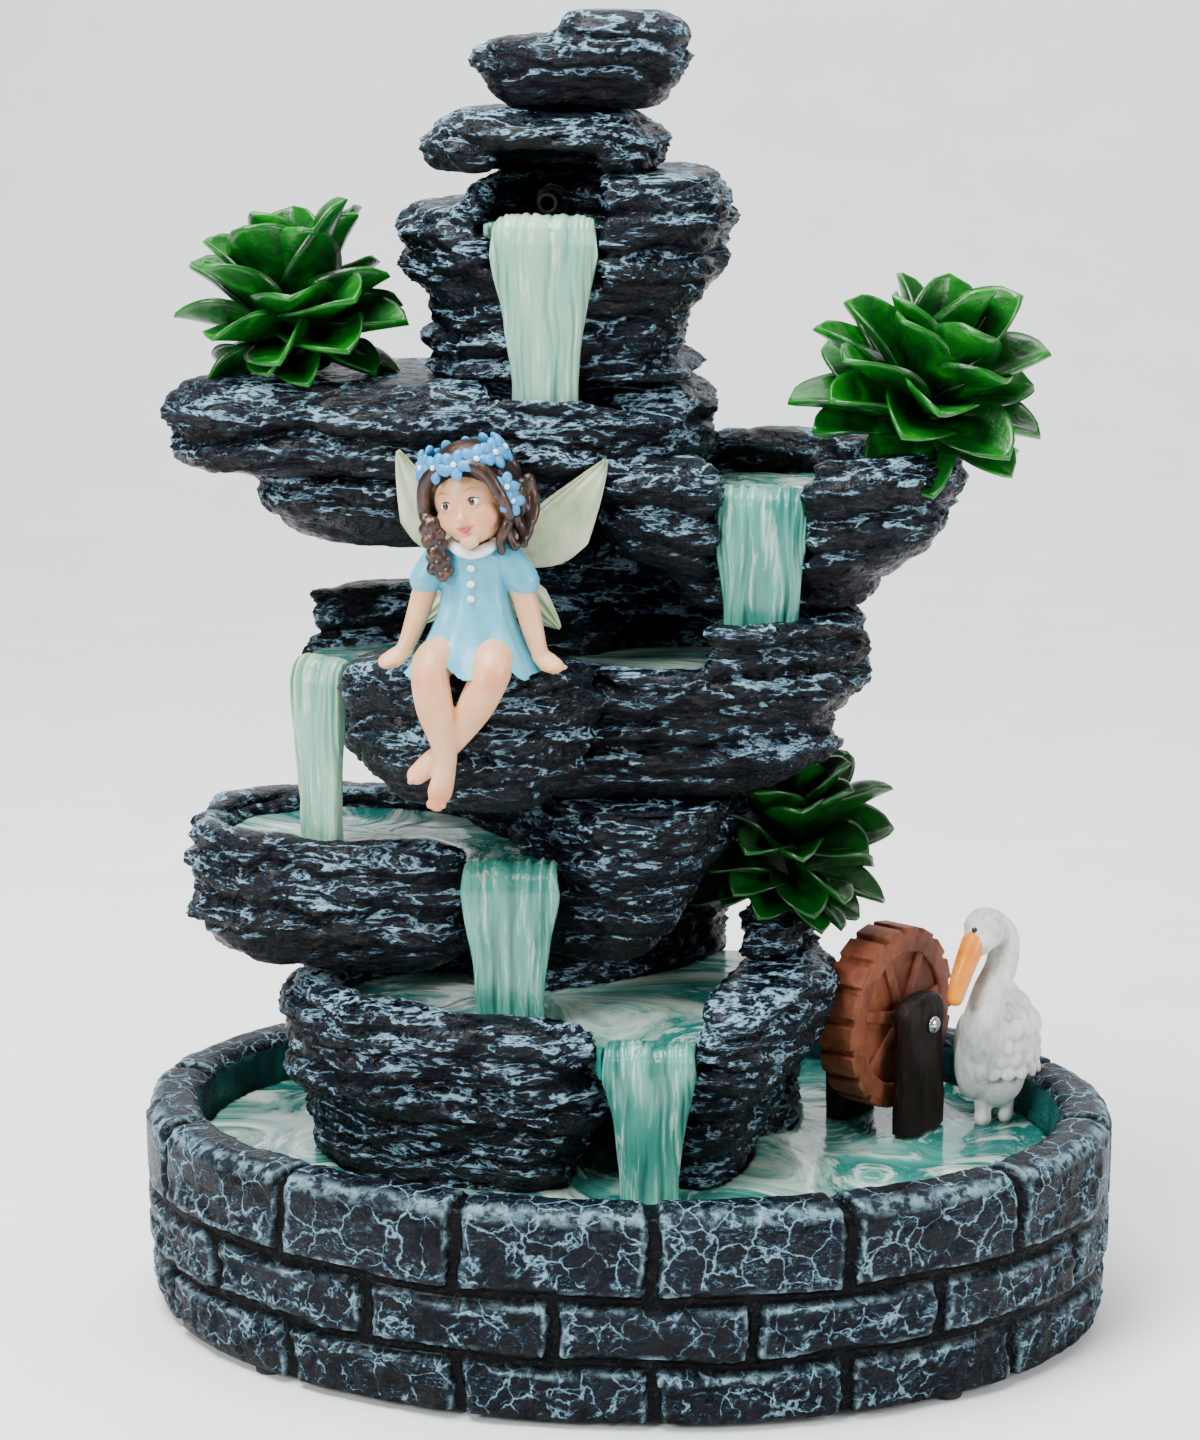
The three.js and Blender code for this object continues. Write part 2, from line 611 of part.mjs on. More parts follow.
const grown = Object.fromEntries(
  Object.entries({
    column, lowerLeft, lowerRight, rightShelf, leftBowl, midUnder, midBowl, seat, ledgeLower, ledgeUpper,
  }).map(
    ([name, spec]) => [name, boulder(spec, GLUE)],
  ),
);
const space = Object.fromEntries(Object.entries(pools).map(([name, spec]) => [name, poolSpace(spec)]));

const rocks = {
  rock_column: cut(boulder(column), chamber, grilleRoom, hatchHole, hatchRebate, hoseChannel, ...intakes),
  rock_lower_left: cut(boulder(lowerLeft), grown.column, space.pool_lower, room.fall_lower),
  rock_lower_right: cut(
    boulder(lowerRight), grown.column, grown.lowerLeft, space.pool_lower, room.fall_lower, wheelRoom,
  ),
  rock_right_shelf: cut(
    boulder(rightShelf), grown.column, grown.lowerRight, space.pool_lower, wheelRoom,
  ),
  rock_left_bowl: cut(boulder(leftBowl), grown.column, space.pool_left, room.fall_middle),
  rock_mid_under: cut(
    boulder(midUnder), grown.column, grown.leftBowl, grown.lowerRight, grown.rightShelf, space.pool_left, room.fall_middle,
  ),
  rock_mid_bowl: cut(boulder(midBowl), grown.column, grown.seat, space.pool_mid, lowRim, room.fall_left),
  rock_seat: cut(boulder(seat), grown.midUnder, space.pool_mid),
  rock_right_bowl: cut(
    boulder(rightBowl), grown.column, grown.ledgeLower, grown.ledgeUpper, space.pool_right, room.fall_right,
  ),
  rock_ledge_lower: cut(boulder(ledgeLower), hoseChannel),
  rock_ledge_upper: cut(boulder(ledgeUpper), hoseChannel, gutter),
  rock_shoulder: cut(boulder(shoulder), hoseChannel, springMouth, space.pool_spring, room.fall_spring),
  rock_collar: cut(boulder(collar), springMouth),
  rock_crown: boulder(crown),
};
for (const [name, made] of Object.entries(rocks)) {
  place(name, made, stone);
}

// ---------------------------------------------------------------- resin pools
const basinPool = cut(
  solid(new THREE.CylinderGeometry(1, 1, POOL_DEPTH - GLUE, BASIN_SIDES).rotateX(Math.PI / 2),
    move(0, 0, (POOL_DEPTH + GLUE) / 2).multiply(
      new THREE.Matrix4().makeScale(
        BASIN_HALF_LENGTH - BASIN_WALL - 1.5 - GLUE,
        BASIN_HALF_DEPTH - BASIN_WALL - 1.5 - GLUE,
        1,
      ),
    )),
  grown.column,
  grown.lowerLeft,
  grown.lowerRight,
  grown.rightShelf,
);
place("pool_basin", basinPool, water);
for (const [name, { surface, outline, spills }] of Object.entries(pools)) {
  const resin = slab(outline, surface - RESIN, surface);
  place(name, cut(resin, grown.column, room[spills]), water);
}

// ---------------------------------------------------------------- plants
// A rosette of thick leaves in rings of [count, tilt from upright, leaf length, leaf width, first angle],
// the angle counted from the back over the left, on a short stem with a flat foot.
const STEM = { radius: 11, height: 14 };
function rosette(rings, arc) {
  const leaves = rings.flatMap(([count, tilt, length, width, start]) =>
    Array.from({ length: count }, (_, i) => {
      const angle = THREE.MathUtils.degToRad(start + (arc * i) / count);
      const leaf = new THREE.SphereGeometry(1, 4, 3);
      leaf.scale(width / 2, length / 2, 3.2).translate(0, length / 2, 0);
      leaf.rotateX(Math.PI / 2 - THREE.MathUtils.degToRad(tilt));
      return solid(leaf, move(0, 0, STEM.height / 2).multiply(turn(0, 0, angle)));
    }),
  );
  return join([bar([0, 0, 0], [0, 0, STEM.height], STEM.radius, 8, STEM.radius / 2), ...leaves]);
}
const fullRings = [
  [6, 80, 35, 22, 30],
  [6, 54, 41, 22, 0],
  [4, 26, 45, 20, 36],
];
const sideRings = [
  [5, 84, 33, 18, 168],
  [4, 58, 37, 18, 188],
  [3, 30, 38, 16, 190],
];
const plants = {
  plant_left: { at: [-97, 4, LEDGE_TOP + GLUE], rings: fullRings, arc: 360 },
  plant_right: { at: [84, 2, RIGHT_POOL + 12 + 1.6], rings: fullRings, arc: 360, lean: 0.1 },
  plant_low: { at: [44, 14, SHELF_TOP + GLUE], rings: sideRings, arc: 190 },
};
for (const [name, { at, rings, arc, lean = 0 }] of Object.entries(plants)) {
  const mesh = place(name, rosette(rings, arc), leafGreen);
  mesh.position.set(...at);
  mesh.rotation.y = lean;
}

// ---------------------------------------------------------------- water wheel on its two posts
const webThickness = 4;
const rimDepth = 7;
const wheelParts = [
  solid(new THREE.LatheGeometry(
    [
      [WHEEL.radius - rimDepth, -WHEEL.width / 2], [WHEEL.radius, -WHEEL.width / 2],
      [WHEEL.radius, -WHEEL.width / 2 + 2], [WHEEL.radius - 3, -WHEEL.width / 2 + 2],
      [WHEEL.radius - 3, WHEEL.width / 2 - 2], [WHEEL.radius, WHEEL.width / 2 - 2],
      [WHEEL.radius, WHEEL.width / 2], [WHEEL.radius - rimDepth, WHEEL.width / 2],
      [WHEEL.radius - rimDepth, -WHEEL.width / 2],
    ].map(([r, z]) => new THREE.Vector2(r, z)), 24).rotateX(Math.PI / 2)),
  bar([0, 0, -webThickness / 2], [0, 0, webThickness / 2], WHEEL.radius - rimDepth + 1, 24),
  bar([0, 0, -WHEEL.width / 2], [0, 0, WHEEL.width / 2], 4.5, 12),
];
const PADDLES = 12;
for (let i = 0; i < PADDLES; i++) {
  const paddle = new THREE.BoxGeometry(4, 2.4, WHEEL.width - 3).translate(WHEEL.radius - 2.4, 0, 0);
  wheelParts.push(solid(paddle, turn(0, 0, (2 * Math.PI * i) / PADDLES)));
}
const SPOKES = 6;
for (let i = 0; i < SPOKES; i++) {
  const spoke = new THREE.BoxGeometry(WHEEL.radius - rimDepth, 4, webThickness + 4);
  spoke.translate((WHEEL.radius - rimDepth) / 2 + 0.6, 0, 0);
  wheelParts.push(solid(spoke, turn(0, 0, (2 * Math.PI * i) / SPOKES)));
}
const axleBore = (length) => bar([0, 0, -length], [0, 0, length], BORE_RADIUS, 12);
place("water_wheel", cut(join(wheelParts), axleBore(WHEEL.width)), finish(COLOURS.wheel, 0.6), wheelPlace);

const postInner = WHEEL.width / 2 + POST_GAP;
const postOuter = postInner + POST.thickness;
const HEAD = { radius: 3, height: 2 };
const axleReach = postOuter + GLUE;
const axleProfile = [
  [0, -axleReach - HEAD.height], [HEAD.radius * 0.7, -axleReach - HEAD.height * 0.8], [HEAD.radius, -axleReach],
  [AXLE_RADIUS, -axleReach], [AXLE_RADIUS, axleReach],
  [HEAD.radius, axleReach], [HEAD.radius * 0.7, axleReach + HEAD.height * 0.8], [0, axleReach + HEAD.height],
].map(([r, z]) => new THREE.Vector2(r, z));
place("wheel_axle", solid(new THREE.LatheGeometry(axleProfile, 12).rotateX(Math.PI / 2)), steel, wheelPlace);

// A post is a half log: flat towards the wheel, round away from it, its top rounded. Its own Y is up here,
// because the wheel's frame is turned.
function wheelPost(side) {
  const shape = new THREE.Shape();
  const foot = -wheelHeight + POOL_DEPTH + GLUE;
  const half = POST.width / 2;
  shape.moveTo(-half, foot);
  shape.lineTo(half, foot);
  shape.lineTo(half, POST.above - half);
  shape.absarc(0, POST.above - half, half, 0, Math.PI);
  const log = new THREE.ExtrudeGeometry(shape, {
    depth: POST.thickness - 3,
    bevelThickness: 1.5,
    bevelSize: 1.5,
    bevelOffset: -1.5,
    bevelSegments: 1,
    curveSegments: 8,
  });
  log.translate(0, 0, 1.5 + postInner);
  // The wheel's frame has its X pointing down, so the post is turned to stand up in it.
  const standing = turn(0, 0, Math.PI / 2).multiply(turn(0, side > 0 ? 0 : Math.PI, 0));
  const body = solid(log, standing);
  return cut(body, axleBore(2 * postOuter));
}
place("wheel_post_front", wheelPost(1), finish(COLOURS.post, 0.7), wheelPlace);
place("wheel_post_rear", wheelPost(-1), finish(COLOURS.post, 0.7), wheelPlace);

// ---------------------------------------------------------------- swan
// The legs are as long as the basin's wall stands above its water, so that the body clears the rim.
const innerHalfLength = BASIN_HALF_LENGTH - BASIN_WALL;
const legLength = BASIN_HEIGHT - FLOOR_HEIGHT - POOL_DEPTH;
const swanPlace = new THREE.Group();
swanPlace.position.set(innerHalfLength - 20, 22, POOL_DEPTH + GLUE);
onFloor.add(swanPlace);
const swanPoint = ([x, y, z]) => [x, y, z + legLength];
const swan = join([
  ball(swanPoint([2, 4, 9]), [13, 16, 14], 10, 7),
  ball(swanPoint([4, 19, 16]), [6, 9, 6], 8, 6),
  rod([[-1, -6, 10], [-2, -12, 20], [2, -6, 34], [4, -3, 44], [-1, -8, 50]].map(swanPoint), 4.2, 7, 7),
  ball(swanPoint([-4, -9, 50]), [6.5, 7, 6.5], 8, 6),
  bar(swanPoint([-6, -13, 47.5]), swanPoint([-12.5, -21, 32]), 3.4, 8, 1.6),
  bar([0, -1, 0.4], [1, 2, legLength - 2], 2.6, 8),
  bar([7, 4, 0.4], [5, 4, legLength - 2], 2.6, 8),
]);
place("swan", swan, finish(COLOURS.swan, 0.6), swanPlace);

// ---------------------------------------------------------------- fairy
const fairyPlace = new THREE.Group();
fairyPlace.position.set(-41, -50, 170 + GLUE);
onFloor.add(fairyPlace);
const dress = new THREE.LatheGeometry(
  [[0, 0], [22, 0], [20, 4], [13, 12], [10, 22], [9.5, 27], [4, 31], [0, 31]].map(([r, z]) => new THREE.Vector2(r, z)),
  14,
).rotateX(Math.PI / 2);
const limb = (points, radius) => rod(points, radius, 6, 4);
const fairy = join([
  solid(dress, new THREE.Matrix4().makeScale(1, 0.72, 1)),
  bar([0, 0, 28], [0, 0, 40], 3.4, 8),
  ball([0, -2, 48], [12, 11, 14], 10, 6),
  ball([0.5, 1.2, 50], [16, 12.8, 15], 10, 7),
  ball([0.5, 6, 34], [10, 7.5, 11], 8, 6),
  limb([[-9, 0, 26], [-14, -1, 18], [-16, -3, 9], [-21, -6, 3.4]], 3),
  limb([[10, 0, 26], [15, -1, 17], [19, -3, 8], [25, -6, 3.2]], 3),
  limb([[-6, -8, 4.5], [-8, -21, 4], [-5, -24, -8], [-1, -23, -27]], 4),
  limb([[7, -8, 4.5], [9, -21, 3], [4, -24, -9], [-6, -22.5, -24]], 4),
  ball([0, -26, -33], [4.5, 5.5, 7], 8, 6),
  ball([-7, -24.5, -29], [5, 5, 5], 8, 6),
]);
place("fairy_figure", fairy, finish(COLOURS.dress, 0.5), fairyPlace);

// The wings: thin curved-edge plates glued to the figure's back.
const WING_THICKNESS = 1.6;
function wing(side, points) {
  const shape = new THREE.Shape();
  points.forEach(([x, z], i) => shape[i ? "lineTo" : "moveTo"](side * x, z));
  const plate = new THREE.ExtrudeGeometry(shape, { depth: WING_THICKNESS, bevelEnabled: false });
  plate.rotateX(Math.PI / 2);
  return solid(plate);
}
const wingPoints = [
  [1, 20], [4, 32], [15, 43], [27, 53], [32, 55], [31, 48], [27, 37], [22, 29], [16, 25], [20, 19], [23, 10],
  [20, 4], [13, 8], [6, 16],
];
for (const side of [-1, 1]) {
  const mesh = place(side < 0 ? "fairy_wing_left" : "fairy_wing_right", wing(side, wingPoints),
    finish(COLOURS.wing, 0.5), fairyPlace);
  mesh.position.set(5 + side * 0.4, 14 + GLUE + WING_THICKNESS, 0);
}

// ---------------------------------------------------------------- pump, hose and hatch cover
const pumpPlace = new THREE.Group();
pumpPlace.position.set(SUMP.x, PUMP.back, pumpBase);
onFloor.add(pumpPlace);
const volute = { z: PUMP.height / 2, radius: PUMP.volute };
const barbX = HOSE.x - SUMP.x;
const barbY = HOSE.y - PUMP.back;
const BARB_RADIUS = HOSE.bore - GLUE;
const housing = cut(
  join([
    block([-PUMP.width / 2, -PUMP.depth, 0], [PUMP.width / 2, 0, PUMP.height]),
    bar([barbX, barbY, PUMP.height - 1], [barbX, barbY, PUMP.height + 10], BARB_RADIUS, 12, BARB_RADIUS - 0.6),
  ]),
  bar([0, -PUMP.voluteDepth, volute.z], [0, 1, volute.z], volute.radius, 20),
  bar([barbX, barbY, volute.z], [barbX, barbY, PUMP.height + 20], BARB_RADIUS - 1.4, 10),
  bar([0, -PUMP.voluteDepth - 5, volute.z], [0, 1, volute.z], 1.3, 8),
);
place("pump_housing", housing, blackPlastic, pumpPlace);

const impeller = cut(
  join([
    bar([0, -10, volute.z], [0, -3, volute.z], 3.2, 12),
    ...[0, 1, 2].map((i) =>
      solid(
        new THREE.BoxGeometry(2 * (volute.radius - 2), 6, 1.4),
        move(0, -6.5, volute.z).multiply(turn(0, (i * Math.PI) / 3, 0)),
      ),
    ),
  ]),
  bar([0, -20, volute.z], [0, 5, volute.z], 1.3, 8),
);
place("pump_impeller", impeller, finish(0xd8d8d2, 0.5), pumpPlace);
place("pump_shaft", bar([0, -PUMP.voluteDepth - 4, volute.z], [0, -0.6, volute.z], 1, 8), steel, pumpPlace);

const grilleSlots = [-1, 0, 1].flatMap((row) =>
  [-1, 1].map((side) =>
    block([side * 9.5 - 4.5, -1, volute.z + row * 6 - 1.2], [side * 9.5 + 4.5, 6, volute.z + row * 6 + 1.2]),
  ),
);
const DIAL_RADIUS = 4;
const grille = cut(
  join([
    block([-PUMP.width / 2, GLUE, 0], [PUMP.width / 2, 2.3, PUMP.height]),
    bar([0, 2, volute.z], [0, 4.2, volute.z], 1.2, 8),
  ]),
  ...grilleSlots,
);
place("pump_intake_grille", grille, blackPlastic, pumpPlace);
const dial = cut(
  join([
    bar([0, 2.6, volute.z], [0, 4, volute.z], DIAL_RADIUS, 16),
    block([-0.8, 3.5, volute.z - DIAL_RADIUS + 0.4], [0.8, 4.8, volute.z + DIAL_RADIUS - 0.4]),
  ]),
  bar([0, 0, volute.z], [0, 8, volute.z], 1.5, 8),
);
place("pump_flow_dial", dial, finish(COLOURS.wheel, 0.5), pumpPlace);
const cupProfile = [[0, 0], [CUP.radius, 0], [1.6, 2.2], [1.6, CUP.height], [0, CUP.height]];
const cupLathe = new THREE.LatheGeometry(cupProfile.map(([r, z]) => new THREE.Vector2(r, z)), 10);
[[-1, -1], [1, -1], [1, 1], [-1, 1]].forEach(([sideX, sideY], i) => {
  const mesh = place(`pump_suction_cup_${i + 1}`, solid(cupLathe.clone().rotateX(Math.PI / 2)), rubber, pumpPlace);
  mesh.position.set(
    sideX * (PUMP.width / 2 - CUP.radius - 1),
    -PUMP.depth / 2 + sideY * (PUMP.depth / 2 - CUP.radius - 1),
    -CUP.height - GLUE,
  );
});

place("riser_hose", pipe(hoseRoute, HOSE.outer, HOSE.bore, 8, HOSE_STEPS), finish(COLOURS.hose, 0.3));

// The spring's spout: a short barbed elbow that the hose pushes onto, open above the top pool.
const SPOUT_RADIUS = HOSE.bore - 2 * GLUE;
const spout = cut(
  join([
    bar([SPRING.x, SPRING.y + 2, SPRING.height], [SPRING.x, SPRING.y - 12, SPRING.height], SPOUT_RADIUS, 12),
    bar([SPRING.x, SPRING.y - 1, SPRING.height], [SPRING.x, SPRING.y - 3, SPRING.height], HOSE.outer - 0.4, 12),
  ]),
  bar([SPRING.x, SPRING.y + 9, SPRING.height], [SPRING.x, SPRING.y - 20, SPRING.height], SPOUT_RADIUS - 1.2, 10),
);
place("spring_spout", spout, blackPlastic);

const coverHalf = HATCH.width / 2 + HATCH.lip - COVER_PLAY;
const coverBottom = HATCH.sill - HATCH.lip + COVER_PLAY;
const coverTop = HATCH.sill + HATCH.height + HATCH.lip - COVER_PLAY;
const PULL = { width: 16, height: 6, depth: 3 };
const cover = cut(
  block(
    [hatchX - coverHalf, HATCH.face - HATCH.thickness + GLUE, coverBottom],
    [hatchX + coverHalf, HATCH.face, coverTop],
  ),
  block(
    [hatchX - PULL.width / 2, HATCH.face - PULL.depth, coverTop - PULL.height - 4],
    [hatchX + PULL.width / 2, HATCH.face + 5, coverTop - 4],
  ),
);
place("rear_hatch_cover", cover, stone);

export default fountain;
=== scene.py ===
# A tabletop water fountain in painted cast resin, put together from the table up: basin, pools, rock tiers,
# falls, plants, wheel, swan, fairy, and the pump behind its hatch. In metres, so that 5 * MM is 5 mm.
import json
import math
import random

import bmesh
import bpy
import numpy as np
from mathutils import Euler, Matrix, Vector, noise


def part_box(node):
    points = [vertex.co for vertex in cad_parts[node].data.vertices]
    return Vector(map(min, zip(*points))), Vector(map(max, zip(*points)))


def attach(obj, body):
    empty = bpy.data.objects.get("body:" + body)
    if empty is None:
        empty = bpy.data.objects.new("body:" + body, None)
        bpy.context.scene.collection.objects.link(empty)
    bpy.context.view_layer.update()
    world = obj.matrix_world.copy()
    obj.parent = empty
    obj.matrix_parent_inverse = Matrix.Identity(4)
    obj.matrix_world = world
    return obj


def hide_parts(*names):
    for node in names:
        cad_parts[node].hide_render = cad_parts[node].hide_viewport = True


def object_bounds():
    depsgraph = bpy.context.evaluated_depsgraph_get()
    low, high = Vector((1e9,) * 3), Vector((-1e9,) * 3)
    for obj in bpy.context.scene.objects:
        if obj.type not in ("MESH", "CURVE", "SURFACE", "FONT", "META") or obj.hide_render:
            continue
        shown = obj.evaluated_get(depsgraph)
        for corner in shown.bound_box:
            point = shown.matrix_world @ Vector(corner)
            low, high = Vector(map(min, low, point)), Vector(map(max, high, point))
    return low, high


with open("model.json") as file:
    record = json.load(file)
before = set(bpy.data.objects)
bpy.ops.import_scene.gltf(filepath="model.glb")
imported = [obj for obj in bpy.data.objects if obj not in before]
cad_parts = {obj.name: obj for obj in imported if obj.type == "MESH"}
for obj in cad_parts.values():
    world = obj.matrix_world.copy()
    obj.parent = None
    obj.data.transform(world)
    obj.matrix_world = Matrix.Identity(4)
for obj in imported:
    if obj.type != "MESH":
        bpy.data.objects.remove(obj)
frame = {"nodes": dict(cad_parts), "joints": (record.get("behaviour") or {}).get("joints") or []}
cad_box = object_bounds()
MM = 0.001
main_body = "fountain"


# ---------------------------------------------------------------- studio
# A pale table and backdrop under a soft overhead box, with a second box from the front left that gives the
# glossy resin its highlights. The camera stands just right of the middle, level with the fountain's top.
CAMERA_TURN, CAMERA_PITCH = math.radians(5.0), math.radians(12.9)
CAMERA_DISTANCE, CAMERA_HEIGHT = 0.95, 0.40
lens = bpy.data.cameras.new("studio_camera")
lens.lens, lens.sensor_width, lens.shift_x = 81.5, 36.0, -0.018
camera = bpy.data.objects.new("studio_camera", lens)
camera.location = (
    CAMERA_DISTANCE * math.sin(CAMERA_TURN),
    -CAMERA_DISTANCE * math.cos(CAMERA_TURN),
    CAMERA_HEIGHT,
)
camera.rotation_euler = (math.pi / 2 - CAMERA_PITCH, 0, CAMERA_TURN)
bpy.context.scene.collection.objects.link(camera)
bpy.context.scene.camera = camera


def linear(hex_colour):
    """An sRGB hex colour as linear RGBA."""
    channels = [int(hex_colour[i : i + 2], 16) / 255 for i in (1, 3, 5)]
    return (*[c / 12.92 if c <= 0.04045 else ((c + 0.055) / 1.055) ** 2.4 for c in channels], 1.0)


def add(tree, kind, inputs=None, **settings):
    """A node with its settings; an input is a value, or the socket that feeds it."""
    made = tree.nodes.new(kind)
    for name, value in settings.items():
        setattr(made, name, value)
    for key, value in (inputs or {}).items():
        if isinstance(value, bpy.types.NodeSocket):
            tree.links.new(value, made.inputs[key])
        else:
            made.inputs[key].default_value = value
    return made


def soft_box(name, place, aim, size, power, colour="#ffffff"):
    lamp = bpy.data.lights.new(name, "AREA")
    lamp.shape, lamp.size, lamp.energy, lamp.color = "SQUARE", size, power, linear(colour)[:3]
    holder = bpy.data.objects.new(name, lamp)
    holder.location = place
    holder.rotation_euler = (Vector(aim) - Vector(place)).to_track_quat("-Z", "Y").to_euler()
    bpy.context.scene.collection.objects.link(holder)


soft_box("overhead_box", (-0.3, -0.35, 1.3), (0, 0, 0.18), 0.6, 30)
soft_box("front_left_box", (-0.9, -1.1, 0.8), (0, 0, 0.2), 0.4, 17)
soft_box("right_fill_box", (1.1, -0.5, 0.55), (0, 0, 0.2), 0.5, 10)
soft_box("backdrop_box", (0, 0.6, 1.9), (0, 1.6, 0.3), 1.6, 42)
world = bpy.data.worlds.new("studio_backdrop")
world.use_nodes = True
world.node_tree.nodes["Background"].inputs["Color"].default_value = linear("#f4f6f8")
world.node_tree.nodes["Background"].inputs["Strength"].default_value = 0.32
bpy.context.scene.world = world


def painted(name, rough=0.5, coat=0.0, specular=0.5):
    """A new material, its tree and its shader."""
    material = bpy.data.materials.new(name)
    material.use_nodes = True
    tree = material.node_tree
    shader = tree.nodes["Principled BSDF"]
    shader.inputs["Roughness"].default_value = rough
    shader.inputs["Coat Weight"].default_value = coat
    shader.inputs["Specular IOR Level"].default_value = specular
    return material, tree, shader


def object_noise(tree, size_mm, stretch=(1, 1, 1), detail=4.0, rough=0.55, distortion=0.0):
    """Noise whose features are about size_mm across, drawn out by stretch along X, Y and Z."""
    where = add(tree, "ShaderNodeTexCoord").outputs["Object"]
    scale = tuple(1 / s for s in stretch)
    placed = add(tree, "ShaderNodeMapping", {"Vector": where, "Scale": scale}).outputs["Vector"]
    values = {"Scale": 1000.0 / size_mm, "Detail": detail, "Roughness": rough, "Distortion": distortion}
    return add(tree, "ShaderNodeTexNoise", {"Vector": placed, **values}).outputs["Fac"]


def ramp(tree, value, *stops):
    """A colour ramp; stops are (position, hex colour or grey)."""
    made = add(tree, "ShaderNodeValToRGB", {"Fac": value})
    band = made.color_ramp
    while len(band.elements) < len(stops):
        band.elements.new(0.5)
    for element, (position, colour) in zip(band.elements, stops):
        element.position = position
        element.color = linear(colour) if isinstance(colour, str) else (colour, colour, colour, 1)
    return made.outputs["Color"]


def mix(tree, factor, first, second, blend="MIX"):
    made = add(tree, "ShaderNodeMix", data_type="RGBA", blend_type=blend)
    for index, value in ((0, factor), (6, first), (7, second)):
        if isinstance(value, bpy.types.NodeSocket):
            tree.links.new(value, made.inputs[index])
        else:
            made.inputs[index].default_value = value
    return made.outputs[2]


def math_node(tree, operation, a, b=0.0, clamp=False):
    return add(tree, "ShaderNodeMath", {0: a, 1: b}, operation=operation, use_clamp=clamp).outputs[0]


def total(tree, first, *more):
    for value in more:
        first = math_node(tree, "ADD", first, value)
    return first


def times(tree, first, *more):
    for value in more:
        first = math_node(tree, "MULTIPLY", first, value)
    return first


def less(tree, first, second, clamp=False):
    return math_node(tree, "SUBTRACT", first, second, clamp)


def attribute(tree, name, output="Fac"):
    return add(tree, "ShaderNodeAttribute", attribute_name=name).outputs[output]


def component(tree, vector, axis):
    return add(tree, "ShaderNodeSeparateXYZ", {0: vector}).outputs[axis]


def bump(tree, shader, height, depth_mm, strength=1.0):
    made = add(tree, "ShaderNodeBump", {"Height": height, "Distance": depth_mm * MM, "Strength": strength})
    tree.links.new(made.outputs["Normal"], shader.inputs["Normal"])


def colour_with(tree, shader, colour):
    tree.links.new(colour, shader.inputs["Base Color"])


# Matt painted board: a pale table that rises into its own backdrop and takes a soft shadow.
board, tree, shader = painted("matt_painted_board", 0.9)
colour_with(tree, shader, ramp(tree, object_noise(tree, 60.0, detail=3), (0.3, "#f3f4f5"), (0.7, "#f8f9fa")))
SWEEP_START, SWEEP_RADIUS, SWEEP_WIDTH, TABLE_FRONT = 1.0, 1.2, 4.0, -3.0
sweep = [(TABLE_FRONT, 0.0)]
sweep += [
    (SWEEP_START + SWEEP_RADIUS * math.sin(t), SWEEP_RADIUS * (1 - math.cos(t)))
    for t in np.linspace(0, math.pi / 2, 24)
]
sweep.append((SWEEP_START + SWEEP_RADIUS, 4.0))
table_mesh = bpy.data.meshes.new("table_sweep")
table_mesh.from_pydata(
    [(x, y, z - 0.0003) for y, z in sweep for x in (-SWEEP_WIDTH, SWEEP_WIDTH)],
    [],
    [(2 * i, 2 * i + 1, 2 * i + 3, 2 * i + 2) for i in range(len(sweep) - 1)],
)
table_mesh.shade_smooth()
table_sweep = bpy.data.objects.new("table_sweep", table_mesh)
table_mesh.materials.append(board)
bpy.context.scene.collection.objects.link(table_sweep)


# ---------------------------------------------------------------- basin
# One oval casting faced as three courses of running-bond stone blocks, with a thick rounded rim cut by the
# same upright joints. Cast polyresin, brushed black, then dry-brushed pale blue along every raised edge.
low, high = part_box("basin")
HALF_LENGTH, HALF_DEPTH = high[0], high[1]
BASE, RIM = low[2], high[2]
WALL, FLOOR, SKIRT, TAPER = 16 * MM, 38 * MM, 12 * MM, 3 * MM
COURSES = (20 * MM, 39.5 * MM)  # heights of the level joints
BLOCKS = 14  # in each course
JOINT_WIDTH, JOINT_DEPTH = 4.4 * MM, 2.4 * MM
FIRST_JOINT = 16.5 * MM  # from the front middle, along the wall
COLUMNS = 880


def link(name, mesh, material=None, smooth=True):
    made = bpy.data.objects.new(name, mesh)
    bpy.context.scene.collection.objects.link(made)
    if material:
        mesh.materials.clear()
        mesh.materials.append(material)
    if smooth:
        mesh.shade_smooth()
    return made


def mesh_of(name, points, faces):
    mesh = bpy.data.meshes.new(name)
    mesh.from_pydata([tuple(p) for p in points], [], faces)
    mesh.update()
    return mesh


def points_of(mesh):
    flat = np.empty(len(mesh.vertices) * 3)
    mesh.vertices.foreach_get("co", flat)
    return flat.reshape(-1, 3)


def store(mesh, name, values):
    mesh.attributes.new(name, "FLOAT", "POINT").data.foreach_set("value", values)


def settle(piece):
    """The piece with its modifiers worked into a plain mesh."""
    depsgraph = bpy.context.evaluated_depsgraph_get()
    mesh = bpy.data.meshes.new_from_object(
        piece.evaluated_get(depsgraph), preserve_all_data_layers=True, depsgraph=depsgraph
    )
    piece.modifiers.clear()
    piece.data = mesh
    mesh.shade_smooth()
    return piece


def run_tree(piece, tree, values):
    """Runs a geometry tree on the piece with these inputs, by name, and keeps the result."""
    modifier = piece.modifiers.new(tree.name, "NODES")
    modifier.node_group = tree
    for item in tree.interface.items_tree:
        if item.in_out == "INPUT" and item.name in values:
            modifier[item.identifier] = values[item.name]
    return settle(piece)


